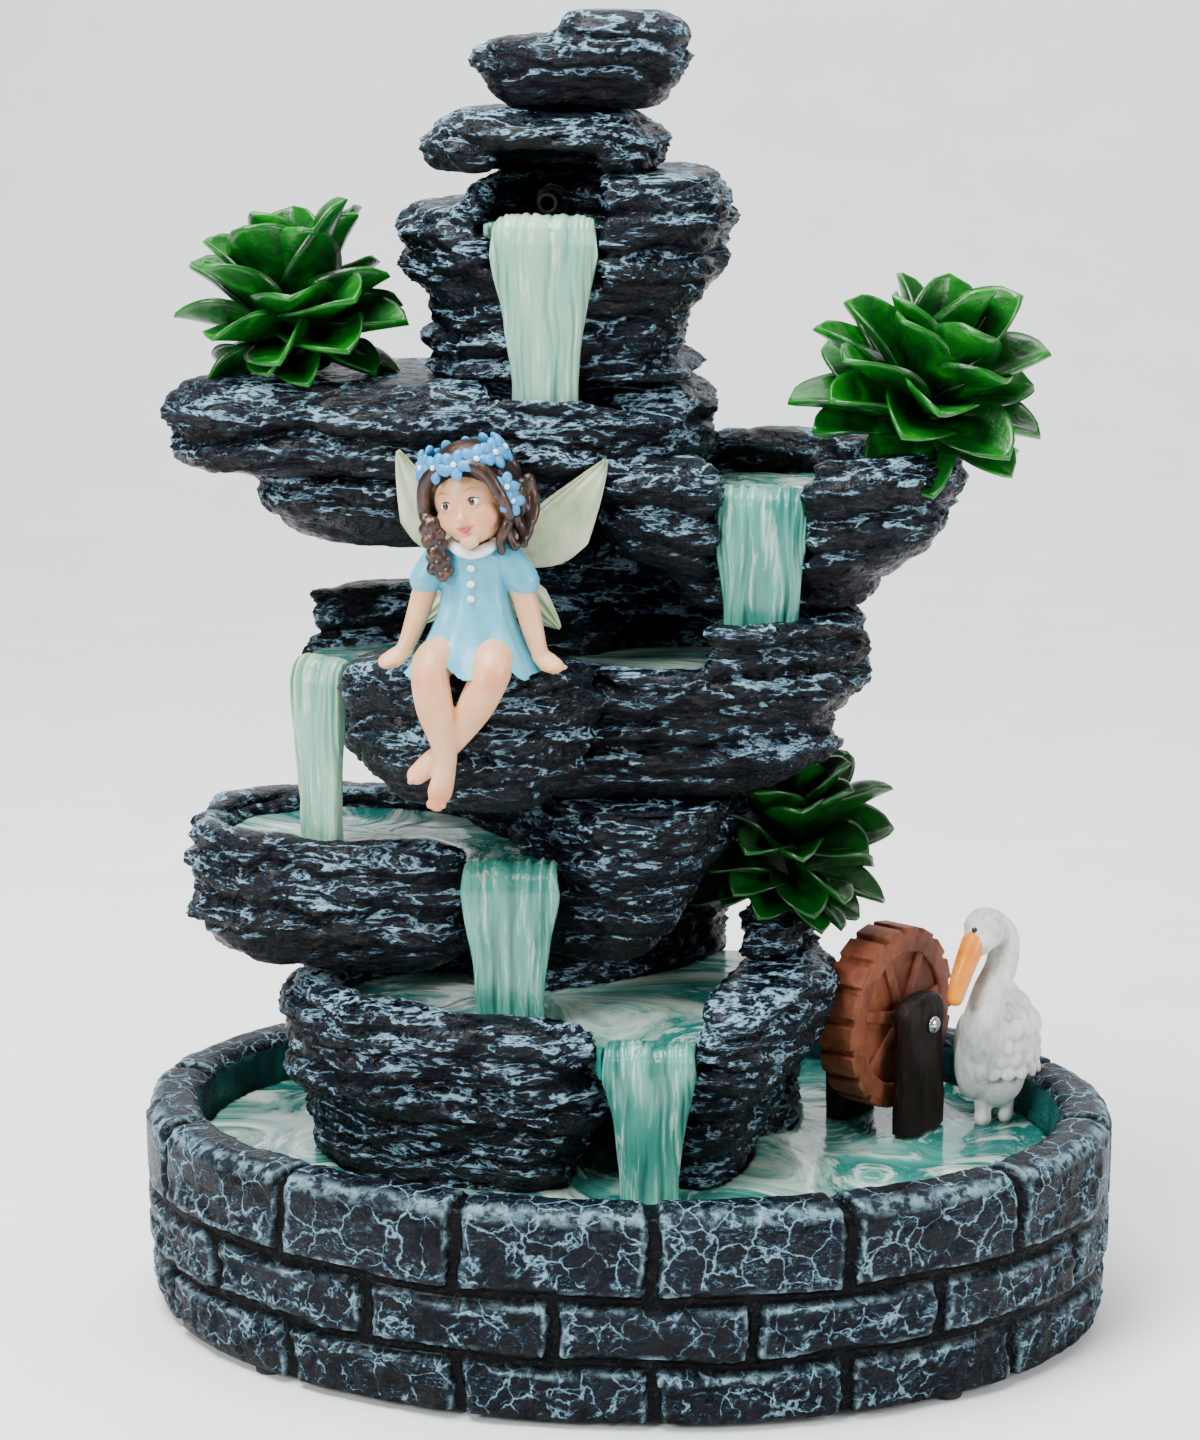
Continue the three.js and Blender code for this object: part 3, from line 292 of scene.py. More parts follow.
def new_tree(name, **inputs):
    """A geometry tree with its sockets; inputs are name=(socket type, default)."""
    tree = bpy.data.node_groups.new(name, "GeometryNodeTree")
    tree.interface.new_socket("Geometry", in_out="INPUT", socket_type="NodeSocketGeometry")
    tree.interface.new_socket("Geometry", in_out="OUTPUT", socket_type="NodeSocketGeometry")
    for label, (kind, default) in inputs.items():
        socket = tree.interface.new_socket(label, in_out="INPUT", socket_type="NodeSocket" + kind)
        if default is not None:
            socket.default_value = default
    return tree, tree.nodes.new("NodeGroupInput").outputs, tree.nodes.new("NodeGroupOutput").inputs


def vector_node(tree, operation, a, b=(0, 0, 0), scale=None):
    inputs = {0: a, 1: b}
    if scale is not None:
        inputs = {0: a, "Scale": scale}
    return add(tree, "ShaderNodeVectorMath", inputs, operation=operation).outputs[0]


def field(tree, name, kind="FLOAT"):
    return add(tree, "GeometryNodeInputNamedAttribute", {"Name": name}, data_type=kind).outputs[0]


def finish_tree(tree, geometry, given, result):
    """Every geometry tree ends in real geometry with its material set."""
    whole = add(tree, "GeometryNodeRealizeInstances", {0: geometry})
    coated = add(
        tree, "GeometryNodeSetMaterial", {"Geometry": whole.outputs[0], "Material": given["Material"]}
    )
    tree.links.new(coated.outputs[0], result["Geometry"])
    return tree


def weathering_tree():
    """Breaks a smooth casting into bedded, chipped stone: beds of uneven reach with rounded lips, and fine
    ridges drawn out along them. Stores how proud each point stands as "ridge"; keeps off "carve"."""
    tree, given, result = new_tree(
        "weathered_stone",
        Bed=("Float", 9 * MM),
        Reach=("Float", 2.4 * MM),
        Ridge=("Float", 0.9 * MM),
        Bulk=("Float", 0.0),
        Chip=("Float", 0.0),
        Draw=("Float", 4.0),
        Soften=("Int", 6),
        Seed=("Float", 0.0),
        Material=("Material", None),
    )

    def cloud(place, scale, detail, **more):
        values = {"Vector": place, "Scale": scale, "Detail": detail, **more}
        return add(tree, "ShaderNodeTexNoise", values).outputs["Fac"]

    def spread(value, reach):
        return times(tree, less(tree, value, 0.5), reach)

    # The casting's facets are softened first.
    carved = field(tree, "carve")
    position = add(tree, "GeometryNodeInputPosition").outputs[0]
    softened = add(
        tree,
        "GeometryNodeBlurAttribute",
        {"Value": position, "Iterations": given["Soften"]},
        data_type="FLOAT_VECTOR",
    )
    kept = add(tree, "ShaderNodeMix", {0: carved, 4: softened.outputs[0], 5: position}, data_type="VECTOR")
    base = add(
        tree, "GeometryNodeSetPosition", {"Geometry": given["Geometry"], "Position": kept.outputs[1]}
    )
    here = add(tree, "GeometryNodeInputPosition").outputs[0]
    normal = add(tree, "GeometryNodeInputNormal").outputs[0]
    level = total(tree, component(tree, here, "Z"), spread(cloud(here, 24.0, 2.0), 26 * MM), given["Seed"])
    bed = math_node(tree, "DIVIDE", level, given["Bed"])
    number, within = math_node(tree, "FLOOR", bed), math_node(tree, "FRACT", bed)
    # How far this bed stands out here.
    flat = vector_node(tree, "MULTIPLY", here, (1.0, 1.0, 0.2))
    reach = add(
        tree,
        "ShaderNodeTexNoise",
        {"Vector": flat, "W": times(tree, number, 3.7), "Scale": 30.0, "Detail": 2.0},
        noise_dimensions="4D",
    ).outputs["Fac"]
    # Each bed's face is rounded off towards the beds above and below.
    across = math_node(tree, "ABSOLUTE", less(tree, times(tree, within, 2.0), 1.0))
    lip = less(tree, 1.0, math_node(tree, "POWER", across, 4.0))
    draw = add(tree, "ShaderNodeCombineXYZ", {0: 1.0, 1: 1.0, 2: given["Draw"]}).outputs[0]
    fine = cloud(vector_node(tree, "MULTIPLY", here, draw), 70.0, 4.0, Roughness=0.62, Distortion=0.6)
    folded = less(tree, 1.0, math_node(tree, "ABSOLUTE", spread(fine, 7.0)), clamp=True)
    crest = math_node(tree, "POWER", folded, 2.0)
    # Level faces keep their height better than upright ones.
    upright = less(tree, 1.0, times(tree, math_node(tree, "ABSOLUTE", component(tree, normal, "Z")), 0.8))
    # Slow swellings, and flat chips broken off along the beds.
    swell = times(tree, spread(cloud(here, 26.0, 1.0), 4.0), given["Bulk"])
    squat = vector_node(tree, "MULTIPLY", here, (0.7, 0.7, 1.5))
    chips = add(
        tree,
        "ShaderNodeTexVoronoi",
        {"Vector": squat, "Scale": 62.0, "Smoothness": 0.25},
        feature="SMOOTH_F1",
    ).outputs["Color"]
    chip = times(tree, spread(component(tree, chips, "X"), 2.0), given["Chip"])
    bedding = total(tree, times(tree, spread(reach, 3.2), 0.7), less(tree, lip, 0.9))
    proud = total(
        tree, times(tree, bedding, given["Reach"]), total(tree, swell, chip),
        times(tree, crest, given["Ridge"])
    )
    proud = times(tree, proud, upright, less(tree, 1.0, carved, clamp=True))
    marked = add(
        tree,
        "GeometryNodeStoreNamedAttribute",
        {"Geometry": base.outputs[0], "Name": "ridge", "Value": times(tree, crest, lip)},
        data_type="FLOAT",
        domain="POINT",
    )
    moved = add(
        tree,
        "GeometryNodeSetPosition",
        {"Geometry": marked.outputs[0], "Offset": vector_node(tree, "SCALE", normal, scale=proud)},
    )
    return finish_tree(tree, moved.outputs[0], given, result)


weathered_stone = weathering_tree()


def creases(tree, size_mm, stretch, thin, detail=5, distortion=0.8):
    """Thin crests of folded noise: 1 along each crest, 0 between them."""
    cloud = object_noise(tree, size_mm, stretch, detail=detail, rough=0.6, distortion=distortion)
    away = math_node(tree, "ABSOLUTE", less(tree, cloud, 0.5))
    return less(tree, 1.0, times(tree, away, thin), clamp=True)


def brushed_stone(name, draw, brush="#8fb6ca", patches=0.2, gloss=0.17, veined=False):
    """Gloss lacquer over cast polyresin, near-black, with pale strokes caught only on its crests."""
    material, tree, shader = painted(name, 0.3, coat=0.05, specular=gloss)
    shader.inputs["Coat Roughness"].default_value = 0.15
    # The brush misses what faces down.
    facing_up = component(tree, add(tree, "ShaderNodeNewGeometry").outputs["Normal"], "Z")
    caught = ramp(tree, total(tree, times(tree, facing_up, 0.5), 0.5), (0.25, 0.0), (0.5, 1.0))
    long_lines = creases(tree, 4.6, (draw, draw, 1), 21.0, distortion=0.5)
    if veined:
        # The facets of split stone: pale lines between irregular cells.
        here = add(tree, "ShaderNodeTexCoord").outputs["Object"]
        bend = add(tree, "ShaderNodeTexNoise", {"Vector": here, "Scale": 110.0,
            "Detail": 3.0}).outputs["Color"]
        bend = {0: bend, 1: (0.011, 0.011, 0.011), 2: here}
        bent = add(tree, "ShaderNodeVectorMath", bend, operation="MULTIPLY_ADD").outputs[0]
        cells = add(
            tree, "ShaderNodeTexVoronoi", {"Vector": bent, "Scale": 105.0}, feature="DISTANCE_TO_EDGE"
        ).outputs["Distance"]
        veins = less(tree, 1.0, times(tree, cells, 18.0), clamp=True)
        long_lines = math_node(tree, "MAXIMUM", veins, times(tree, long_lines, 0.35))
    short_lines = creases(tree, 2.0, (draw, draw, 1), 15.0, distortion=1.0)
    where = ramp(tree, object_noise(tree, 17.0, (draw * 0.5, draw * 0.5, 1), detail=4), (0.33, 0.3),
        (0.5, 1.0))
    crest = ramp(tree, attribute(tree, "ridge"), (0.55, 0.0), (0.95, 1.0))
    dry = total(
        tree, times(tree, long_lines, 0.9), times(tree, short_lines, 0.48), times(tree, crest, 0.55), -0.1
    )
    dry = times(tree, dry, where, caught)
    under = ramp(tree, object_noise(tree, 16.0, (2, 2, 1)), (0.35, "#010204"), (0.6, "#050811"),
        (0.8, "#0d1420"))
    earth = ramp(tree, object_noise(tree, 24.0, (2.4, 2.4, 1), detail=5), (0.6, 0.0), (0.74, patches))
    under = mix(tree, earth, under, linear("#2b2829"))
    colour = mix(tree, ramp(tree, dry, (0.12, 0.0), (0.45, 0.85)), under, linear("#1c3140"))
    colour = mix(tree, ramp(tree, dry, (0.4, 0.0), (0.95, 0.95)), colour, linear(brush))
    colour_with(tree, shader, colour)
    tree.links.new(ramp(tree, dry, (0.2, 0.3), (0.7, 0.6)), shader.inputs["Roughness"])
    relief = total(tree, times(tree, long_lines, 0.8), times(tree, short_lines, 0.45),
        object_noise(tree, 1.4, detail=2))
    bump(tree, shader, relief, 0.6, 0.85)
    return material, tree, shader, colour


# Cast block stone: short strokes in all directions, black mortar joints and teal-stained inner wall.
block_stone, tree, shader, colour = brushed_stone("dry_brushed_block_stone", 1.8, "#84aabb", 0.08, 0.1,
    veined=True)
worn = ramp(tree, object_noise(tree, 3.6, detail=5), (0.44, 0.05), (0.6, 0.8))
worn = times(tree, attribute(tree, "arris"), worn)
colour = mix(tree, worn, colour, linear("#8fb1be"))
colour = mix(tree, attribute(tree, "carve"), colour, linear("#030406"))
stain = ramp(tree, object_noise(tree, 22.0, (1, 1, 2), distortion=1.5), (0.35, "#0a3b3c"), (0.65, "#1f6f69"))
colour = mix(tree, attribute(tree, "inner"), colour, stain)
colour_with(tree, shader, colour)

# Arc length round the oval, from the front middle, gives evenly long blocks.
turn = np.linspace(0, 2 * np.pi, 7201)
steps = np.hypot(HALF_LENGTH * np.diff(np.sin(turn)), HALF_DEPTH * np.diff(np.cos(turn)))
arc = np.concatenate([[0], np.cumsum(steps)])
perimeter = arc[-1]
along = np.linspace(0, perimeter, COLUMNS, endpoint=False)
angle = np.interp(along, arc, turn)


def tube_faces(rows, around):
    """Faces of a tube of rings, closed at both ends."""
    faces = [
        (k * around + i, k * around + (i + 1) % around, (k + 1) * around + (i + 1) % around,
        (k + 1) * around + i)
        for k in range(rows - 1)
        for i in range(around)
    ]
    return faces + [tuple(range(around - 1, -1, -1)), tuple((rows - 1) * around + i for i in range(around))]


def stretch_of(*corners):
    """Points every 1.3 mm between the corners of a wall profile of (inset, height)."""
    points = []
    for (a, z0), (b, z1) in zip(corners, corners[1:]):
        count = max(1, round(math.hypot(b - a, z1 - z0) / (1.35 * MM)))
        points += [(a + (b - a) * i / count, z0 + (z1 - z0) * i / count) for i in range(count)]
    return points


outer_face = stretch_of((TAPER, BASE), (0.4 * MM, RIM * 0.55), (0, RIM - 8 * MM))
rim_face = stretch_of(
    (0, RIM - 8 * MM), (0.8 * MM, RIM - 4 * MM), (2.6 * MM, RIM - 1.4 * MM), (5.5 * MM, RIM),
    (WALL - 5 * MM, RIM), (WALL - 2 * MM, RIM - 1.2 * MM), (WALL, RIM - 4 * MM),
)
inner_face = stretch_of((WALL, RIM - 4 * MM), (WALL + 1.5 * MM, FLOOR - 6 * MM))
hidden = [(WALL + 1.5 * MM, FLOOR - 6.9 * MM), (SKIRT + 6 * MM, FLOOR - 7 * MM), (SKIRT, FLOOR - 14 * MM)]
hidden += [(SKIRT, FLOOR - 24 * MM), (SKIRT, BASE)]
section = outer_face + rim_face + inner_face + hidden
rows = len(section)


def joint_profile(distance):
    """1 in the middle of a mortar joint, 0 on the block, with a narrow rounded shoulder."""
    return np.clip((JOINT_WIDTH / 2 + 0.5 * MM - distance) / (1.1 * MM), 0, 1) ** 0.7


points, carve, arris_values, inner_values = [], [], [], []
for row, (inset, height) in enumerate(section):
    a, b = HALF_LENGTH - inset, HALF_DEPTH - inset
    x, y = a * np.sin(angle), -b * np.cos(angle)
    normal = np.stack([np.sin(angle) / a, -np.cos(angle) / b], axis=1)
    normal /= np.linalg.norm(normal, axis=1)[:, None]
    outside, top = row < len(outer_face) + 12, row < len(outer_face) + len(rim_face)
    wander = 0.7 * MM * np.sin(along / (23 * MM)) + 0.5 * MM * np.sin(along / (9 * MM) + height / (6 * MM))
    gap = np.full(COLUMNS, 1.0)
    if top:
        course = sum(height > z for z in COURSES)
        pitch = perimeter / BLOCKS
        shift = FIRST_JOINT + (0.5 * pitch if course == 1 else 0) + 0.6 * MM * math.sin(height / (4 * MM))
        gap = np.abs((along - shift + pitch / 2) % pitch - pitch / 2)
    if outside:
        for z in COURSES:
            gap = np.minimum(gap, np.abs(height + wander - z))
    groove = joint_profile(gap)
    edge = np.exp(-(((gap - JOINT_WIDTH / 2 - 0.8 * MM) / (0.42 * MM)) ** 2))
    if top and not outside:
        groove = groove * 0.8
    depth = JOINT_DEPTH * groove
    lean = min(1.0, max(0.0, (RIM - height) / (5 * MM))) if top else 0.0
    x, y = x - depth * normal[:, 0] * lean, y - depth * normal[:, 1] * lean
    z = height - depth * (1 - lean) * (1.0 if top else 0.0)
    points.append(np.stack([x, y, np.broadcast_to(z, x.shape)], axis=1))
    carve.append(groove)
    rim_edge = math.exp(-(((inset - 2.4 * MM) / (1.6 * MM)) ** 2)) if top and height > RIM - 5 * MM else 0.0
    arris_values.append(np.maximum(edge, 0.9 * rim_edge) * (1.0 if top else 0.0))
    inner_values.append(np.full(COLUMNS, 0.0 if top else 1.0))
faces = []
for row in range(rows):
    this, above = row * COLUMNS, (row + 1) % rows * COLUMNS
    for column in range(COLUMNS):
        beside = (column + 1) % COLUMNS
        faces.append((this + column, this + beside, above + beside, above + column))
wall_mesh = mesh_of("basin_wall", np.concatenate(points), faces)
# The mortar and the inside stay as they are; only the blocks' faces weather.
store(wall_mesh, "carve", np.maximum(np.concatenate(carve), np.concatenate(inner_values)))
store(wall_mesh, "arris", np.concatenate(arris_values))
store(wall_mesh, "inner", np.concatenate(inner_values))
basin_wall = link("basin_wall", wall_mesh)
run_tree(
    basin_wall,
    weathered_stone,
    {"Bed": 60 * MM, "Reach": 0.4 * MM, "Ridge": 1.5 * MM, "Bulk": 0.3 * MM, "Chip": 0.9 * MM, "Draw": 1.4,
     "Soften": 0, "Seed": 0.0, "Material": block_stone},
)
# No block stands past the casting's own outline.
spots = points_of(basin_wall.data)
over = np.hypot(spots[:, 0] / HALF_LENGTH, spots[:, 1] / HALF_DEPTH)
spots[:, :2] *= np.where(over > 1, 1 / over, 1)[:, None]
spots[:, 2] = np.clip(spots[:, 2], BASE, RIM)
basin_wall.data.vertices.foreach_set("co", spots.ravel())
basin_wall.data.update()


def stand(piece, body, nodes):
    """The piece moves with its body and stands for its CAD nodes, which it hides."""
    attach(piece, body)
    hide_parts(*nodes)


stand(basin_wall, main_body, ["basin"])


# ---------------------------------------------------------------- basin floor
# The casting's plain underside: a thin floor with the pump's square sump let into it, left in the black base
# coat. It shows only from below and through the hatch.
def bar_part(lowest, highest, spin=0.0):
    """A box part turned about Z."""
    (x0, y0, z0), (x1, y1, z1) = lowest, highest
    turned = Matrix.Rotation(spin, 3, "Z")
    corners = [
        turned @ Vector((x, y, z)) for z in (z0, z1) for x, y in ((x0, y0), (x1, y0), (x1, y1), (x0, y1))
    ]
    sides = [(0, 3, 2, 1), (4, 5, 6, 7)] + [(i, (i + 1) % 4, (i + 1) % 4 + 4, i + 4) for i in range(4)]
    return corners, sides


def block(name, lowest, highest):
    return link(name, mesh_of(name, *bar_part(lowest, highest)), smooth=False)


def combine(piece, tool, operation):
    modifier = piece.modifiers.new(operation, "BOOLEAN")
    modifier.operation, modifier.object, modifier.solver = operation, tool, "EXACT"
    settle(piece)
    bpy.data.objects.remove(tool)
    return piece


base_coat, tree, shader = painted("black_base_coat_resin", 0.6)
colour_with(tree, shader, ramp(tree, object_noise(tree, 12.0), (0.3, "#0b0c10"), (0.7, "#1a1d23")))
bump(tree, shader, object_noise(tree, 2.0), 0.2, 0.6)
SUMP_LOW, SUMP_HIGH, SUMP_WALL = (-40 * MM, 21 * MM, 12 * MM), (14 * MM, 71 * MM, 39 * MM), 4 * MM
FLOOR_LENGTH, FLOOR_DEPTH, FLOOR_SIDES = HALF_LENGTH - WALL - 0.5 * MM, HALF_DEPTH - WALL - 0.5 * MM, 96
round_turns = [2 * math.pi * i / FLOOR_SIDES for i in range(FLOOR_SIDES)]
floor_points = [
    (FLOOR_LENGTH * math.cos(t), FLOOR_DEPTH * math.sin(t), z)
    for z in (FLOOR - 7 * MM, FLOOR - 0.2 * MM)
    for t in round_turns
]
floor_faces = tube_faces(2, FLOOR_SIDES)
basin_floor = link("basin_floor", mesh_of("basin_floor", floor_points, floor_faces), smooth=False)
sump_shell = block(
    "sump_shell",
    [v - SUMP_WALL for v in SUMP_LOW],
    [SUMP_HIGH[0] + SUMP_WALL, SUMP_HIGH[1] + SUMP_WALL, FLOOR - 1 * MM],
)
combine(basin_floor, sump_shell, "UNION")
combine(basin_floor, block("sump_space", SUMP_LOW, SUMP_HIGH), "DIFFERENCE")
basin_floor.data.materials.clear()
basin_floor.data.materials.append(base_coat)
basin_floor.data.shade_flat()
stand(basin_floor, main_body, ["basin"])


# ---------------------------------------------------------------- rock tiers
# The tiers are separate polyresin castings of bedded slate, glued in a stack. Each keeps its own ledges and
# undercuts; the beds run level, chip along their lips, and carry long pale brush strokes.
slate, *_ = brushed_stone("dry_brushed_slate", 3.6)


def cad_copy(name, node):
    """A new object with the CAD node's mesh, its loose triangles merged."""
    mesh = frame["nodes"][node].data.copy()
    mesh.name = name
    shape = bmesh.new()
    shape.from_mesh(mesh)
    bmesh.ops.remove_doubles(shape, verts=shape.verts, dist=0.01 * MM)
    shape.to_mesh(mesh)
    shape.free()
    return link(name, mesh)


def remesh(piece, size_mm):
    modifier = piece.modifiers.new("even_mesh", "REMESH")
    modifier.mode, modifier.voxel_size = "VOXEL", size_mm * MM
    return settle(piece)


ROCKS = {
    # name of the rock: how far its beds stand out, in mm
    "column": 2.0, "lower_left": 2.6, "lower_right": 2.6, "right_shelf": 2.2, "left_bowl": 2.6,
    "mid_under": 2.6, "mid_bowl": 2.8, "seat": 2.4, "right_bowl": 2.6, "ledge_lower": 2.4,
    "ledge_upper": 2.6, "shoulder": 2.8, "collar": 2.2, "crown": 2.4,
}
# Where a tier's top steps down: the side it steps on, where, its drop, and how far down it fades, in mm.
NOTCHES = {"crown": [(-1, -14, 7.0, 16)], "collar": [(1, -2, 3.0, 10)], "shoulder": [(-1, -40, 9.0, 24)]}


def notch(mesh, steps):
    """Cuts the casting finely enough to bend, then lowers its top beyond each step."""
    shape = bmesh.new()
    shape.from_mesh(mesh)
    bmesh.ops.triangulate(shape, faces=shape.faces)
    for _ in range(3):
        long_edges = [edge for edge in shape.edges if edge.calc_length() > 4 * MM]
        if long_edges:
            bmesh.ops.subdivide_edges(shape, edges=long_edges, cuts=1, use_grid_fill=True)
    top = max(v.co.z for v in shape.verts)
    for side, start, drop, fade in steps:
        for v in shape.verts:
            beyond = min(1.0, max(0.0, (side * v.co.x - side * start * MM) / (7 * MM)))
            near_top = min(1.0, max(0.0, 1 - (top - v.co.z) / (fade * MM)))
            v.co.z -= drop * MM * beyond * beyond * (3 - 2 * beyond) * near_top
    shape.to_mesh(mesh)
    shape.free()


def lathe(profile, sides):
    """A closed ring of (radius, height) points spun about Z, as points and faces."""
    points = [
        (r * math.cos(2 * math.pi * i / sides), r * math.sin(2 * math.pi * i / sides), z)
        for i in range(sides)
        for r, z in profile
    ]
    count = len(profile)
    faces = [
        (i * count + k, ((i + 1) % sides) * count + k, ((i + 1) % sides) * count + (k + 1) % count,
         i * count + (k + 1) % count)
        for i in range(sides)
        for k in range(count)
    ]
    return points, faces


# The riser hose climbs inside the stack. Where a casting is thin round it, a boss is cast on: from, to, mm.
HOSE_X, HOSE_Y, BOSS_BORE, BOSS_RADIUS = -18.0, 50.0, 6.9, 13.0
BOSSES = {"column": (200, 236.2), "ledge_lower": (236.6, 258), "ledge_upper": (258.5, 284.8),
    "shoulder": (285.2, 343)}
# The pump chamber in the column, which keeps its straight walls: lowest and highest corner in mm.
CHAMBER_LOW, CHAMBER_HIGH = (-38.0, 26.0, 37.5), (10.0, 71.5, 112.5)


def add_boss(mesh, lowest, highest):
    """Adds the ring of casting that carries the hose."""
    profile = [(BOSS_BORE, lowest), (BOSS_RADIUS, lowest), (BOSS_RADIUS, highest), (BOSS_BORE, highest)]
    points, faces = lathe(profile, 40)
    shape = bmesh.new()
    shape.from_mesh(mesh)
    corners = [shape.verts.new(((x + HOSE_X) * MM, (y + HOSE_Y) * MM, z * MM)) for x, y, z in points]
    ring = [shape.faces.new([corners[i] for i in face]) for face in faces]
    bmesh.ops.recalc_face_normals(shape, faces=ring)
    shape.to_mesh(mesh)
    shape.free()


def keep_inside(mesh, lowest, highest):
    """Holds every point of the mesh between two corners."""
    mesh.vertices.foreach_set("co", np.clip(points_of(mesh), lowest, highest).ravel())
    mesh.update()


for number, (name, reach) in enumerate(ROCKS.items()):
    rock = cad_copy(name + "_slate", "rock_" + name)
    if name in NOTCHES:
        notch(rock.data, NOTCHES[name])
    if name in BOSSES:
        add_boss(rock.data, *BOSSES[name])
    remesh(rock, 1.5 if name == "column" else 1.25)
    place = points_of(rock.data) / MM
    plain = np.clip((16 - np.hypot(place[:, 0] - HOSE_X, place[:, 1] - HOSE_Y)) / 7.5, 0, 1)
    if name == "column":
        outside = np.maximum(np.array(CHAMBER_LOW) - place, place - np.array(CHAMBER_HIGH)).max(axis=1)
        plain = np.maximum(plain, np.clip(1 - outside / 4, 0, 1))
    store(rock.data, "carve", plain)
    run_tree(
        rock,
        weathered_stone,
        {"Bed": 10.5 * MM, "Reach": 1.45 * reach * MM, "Ridge": 1.9 * MM, "Bulk": 1.6 * MM, "Chip": 1.9 * MM,
         "Draw": 4.0, "Soften": 14, "Seed": 1.3 * MM * number, "Material": slate},
    )
    keep_inside(rock.data, *cad_box)
    stand(rock, main_body, ["rock_" + name])


# ---------------------------------------------------------------- pools
# Tinted casting resin poured level in the basin and the tier bowls, then teased into low ripples while it set
# and wiped with cream-white along the flow. Hard, glossy and a little see-through.
def poured_resin(name, deep, middle, foam, cream):
    """Glossy tinted resin, streaked with cream along its flow and deepest in colour against its walls."""
    material, tree, shader = painted(name, 0.14, coat=0.5)
    flow, edge = attribute(tree, "flow", "Vector"), attribute(tree, "edge")
    streak = add(
        tree, "ShaderNodeTexNoise", {"Vector": flow, "Scale": 1.0, "Detail": 5.0, "Roughness": 0.6}
    ).outputs["Fac"]
    broad = object_noise(tree, 34.0, detail=3, distortion=0.6)
    depth = total(tree, times(tree, edge, 0.4), times(tree, broad, 0.9), -0.2)
    colour = ramp(tree, depth, (0.02, foam), (0.2, middle), (0.46, deep))
    colour = mix(tree, ramp(tree, streak, (0.5, 0.0), (0.66, cream)), colour, linear(foam))
    colour = mix(tree, ramp(tree, streak, (0.34, 0.8), (0.48, 0.0)), colour, linear(deep))
    stroke = add(
        tree, "ShaderNodeTexNoise", {"Vector": flow, "Scale": 3.1, "Detail": 4.0, "Roughness": 0.7}
    ).outputs["Fac"]
    colour = mix(tree, ramp(tree, stroke, (0.53, 0.0), (0.63, 0.75)), colour, linear(foam))
    colour = mix(tree, ramp(tree, stroke, (0.36, 0.55), (0.45, 0.0)), colour, linear(middle))
    colour_with(tree, shader, colour)
    shader.inputs["Subsurface Weight"].default_value = 0.12
    shader.inputs["Subsurface Radius"].default_value = (0.002, 0.004, 0.004)
    bump(tree, shader, total(tree, streak, times(tree, stroke, 0.6)), 1.0, 0.8)
    return material


def ripple_tree():
    """Raises the level face of a pool into ripples along its flow."""
    tree, given, result = new_tree("teased_ripples", Height=("Float", 1 * MM), Material=("Material", None))
    upward = component(tree, add(tree, "GeometryNodeInputNormal").outputs[0], "Z")
    level = math_node(tree, "GREATER_THAN", upward, 0.6)
    flow = field(tree, "flow", "FLOAT_VECTOR")
    swell = add(tree, "ShaderNodeTexNoise", {"Vector": flow, "Scale": 0.8, "Detail": 2.0}).outputs["Fac"]
    height = times(tree, less(tree, swell, 0.55), 3.0, given["Height"], level)
    raised = add(tree, "ShaderNodeCombineXYZ", {2: height}).outputs[0]
    moved = add(tree, "GeometryNodeSetPosition", {"Geometry": given["Geometry"], "Offset": raised})
    return finish_tree(tree, moved.outputs[0], given, result)


def mark_flow(mesh, centre, half_sizes, spacing, swirl):
    """Stores a flow that circles the pool's centre: nearly even along each ring, changing across them."""
    place = points_of(mesh)
    u, v = (place[:, 0] - centre[0]) / half_sizes[0], (place[:, 1] - centre[1]) / half_sizes[1]
    reach, heading = np.hypot(u, v), np.arctan2(v, u)
    drift = np.array([noise.noise((x / 0.03, y / 0.03, 0.7)) for x, y, _ in place])
    heading = heading + swirl * reach + 0.5 * drift
    rings = reach * min(half_sizes) / spacing + 1.6 * drift
    flow = np.stack([1.7 * np.cos(heading), 1.7 * np.sin(heading), rings], axis=1)
    mesh.attributes.new("flow", "FLOAT_VECTOR", "POINT").data.foreach_set("vector", flow.ravel())
    store(mesh, "edge", np.clip((reach - 0.55) / 0.45, 0, 1))


teased_ripples = ripple_tree()
basin_water = poured_resin("teal_casting_resin_basin", "#146660", "#4fa294", "#cfe5d6", 0.9)
tier_water = poured_resin("teal_casting_resin_tiers", "#1f7a72", "#63ad9f", "#d3e6d8", 0.85)
POOLS = {
    # pool: finest step of its mesh and spacing of its streaks in mm, twist of its swirl
    "basin": (1.4, 3.4, 0.35), "lower": (1.0, 2.4, 0.8), "left": (1.0, 2.4, 0.8), "mid": (1.0, 2.4, 0.5),
    "right": (1.0, 2.4, 0.6), "spring": (0.9, 2.2, 0.5),
}
# Under a fall a pool's resin thins to a lip: axis, where it thins from, the share kept, and its depth in mm.
LIPS = {"mid": (0, -89.0, 0.45, 2.0), "spring": (1, -19.5, 0.35, 3.0), "right": (1, -26.0, 0.4, 3.0)}


def tuck(mesh, axis, start, kept, depth):
    """Draws the resin beyond start in towards it, and raises its underside to a thin lip."""
    top = max(v.co.z for v in mesh.vertices)
    for v in mesh.vertices:
        beyond = start * MM - v.co[axis]
        if beyond > 0:
            v.co[axis] = start * MM - beyond * kept
            v.co.z = max(v.co.z, top - depth * MM)
    mesh.update()


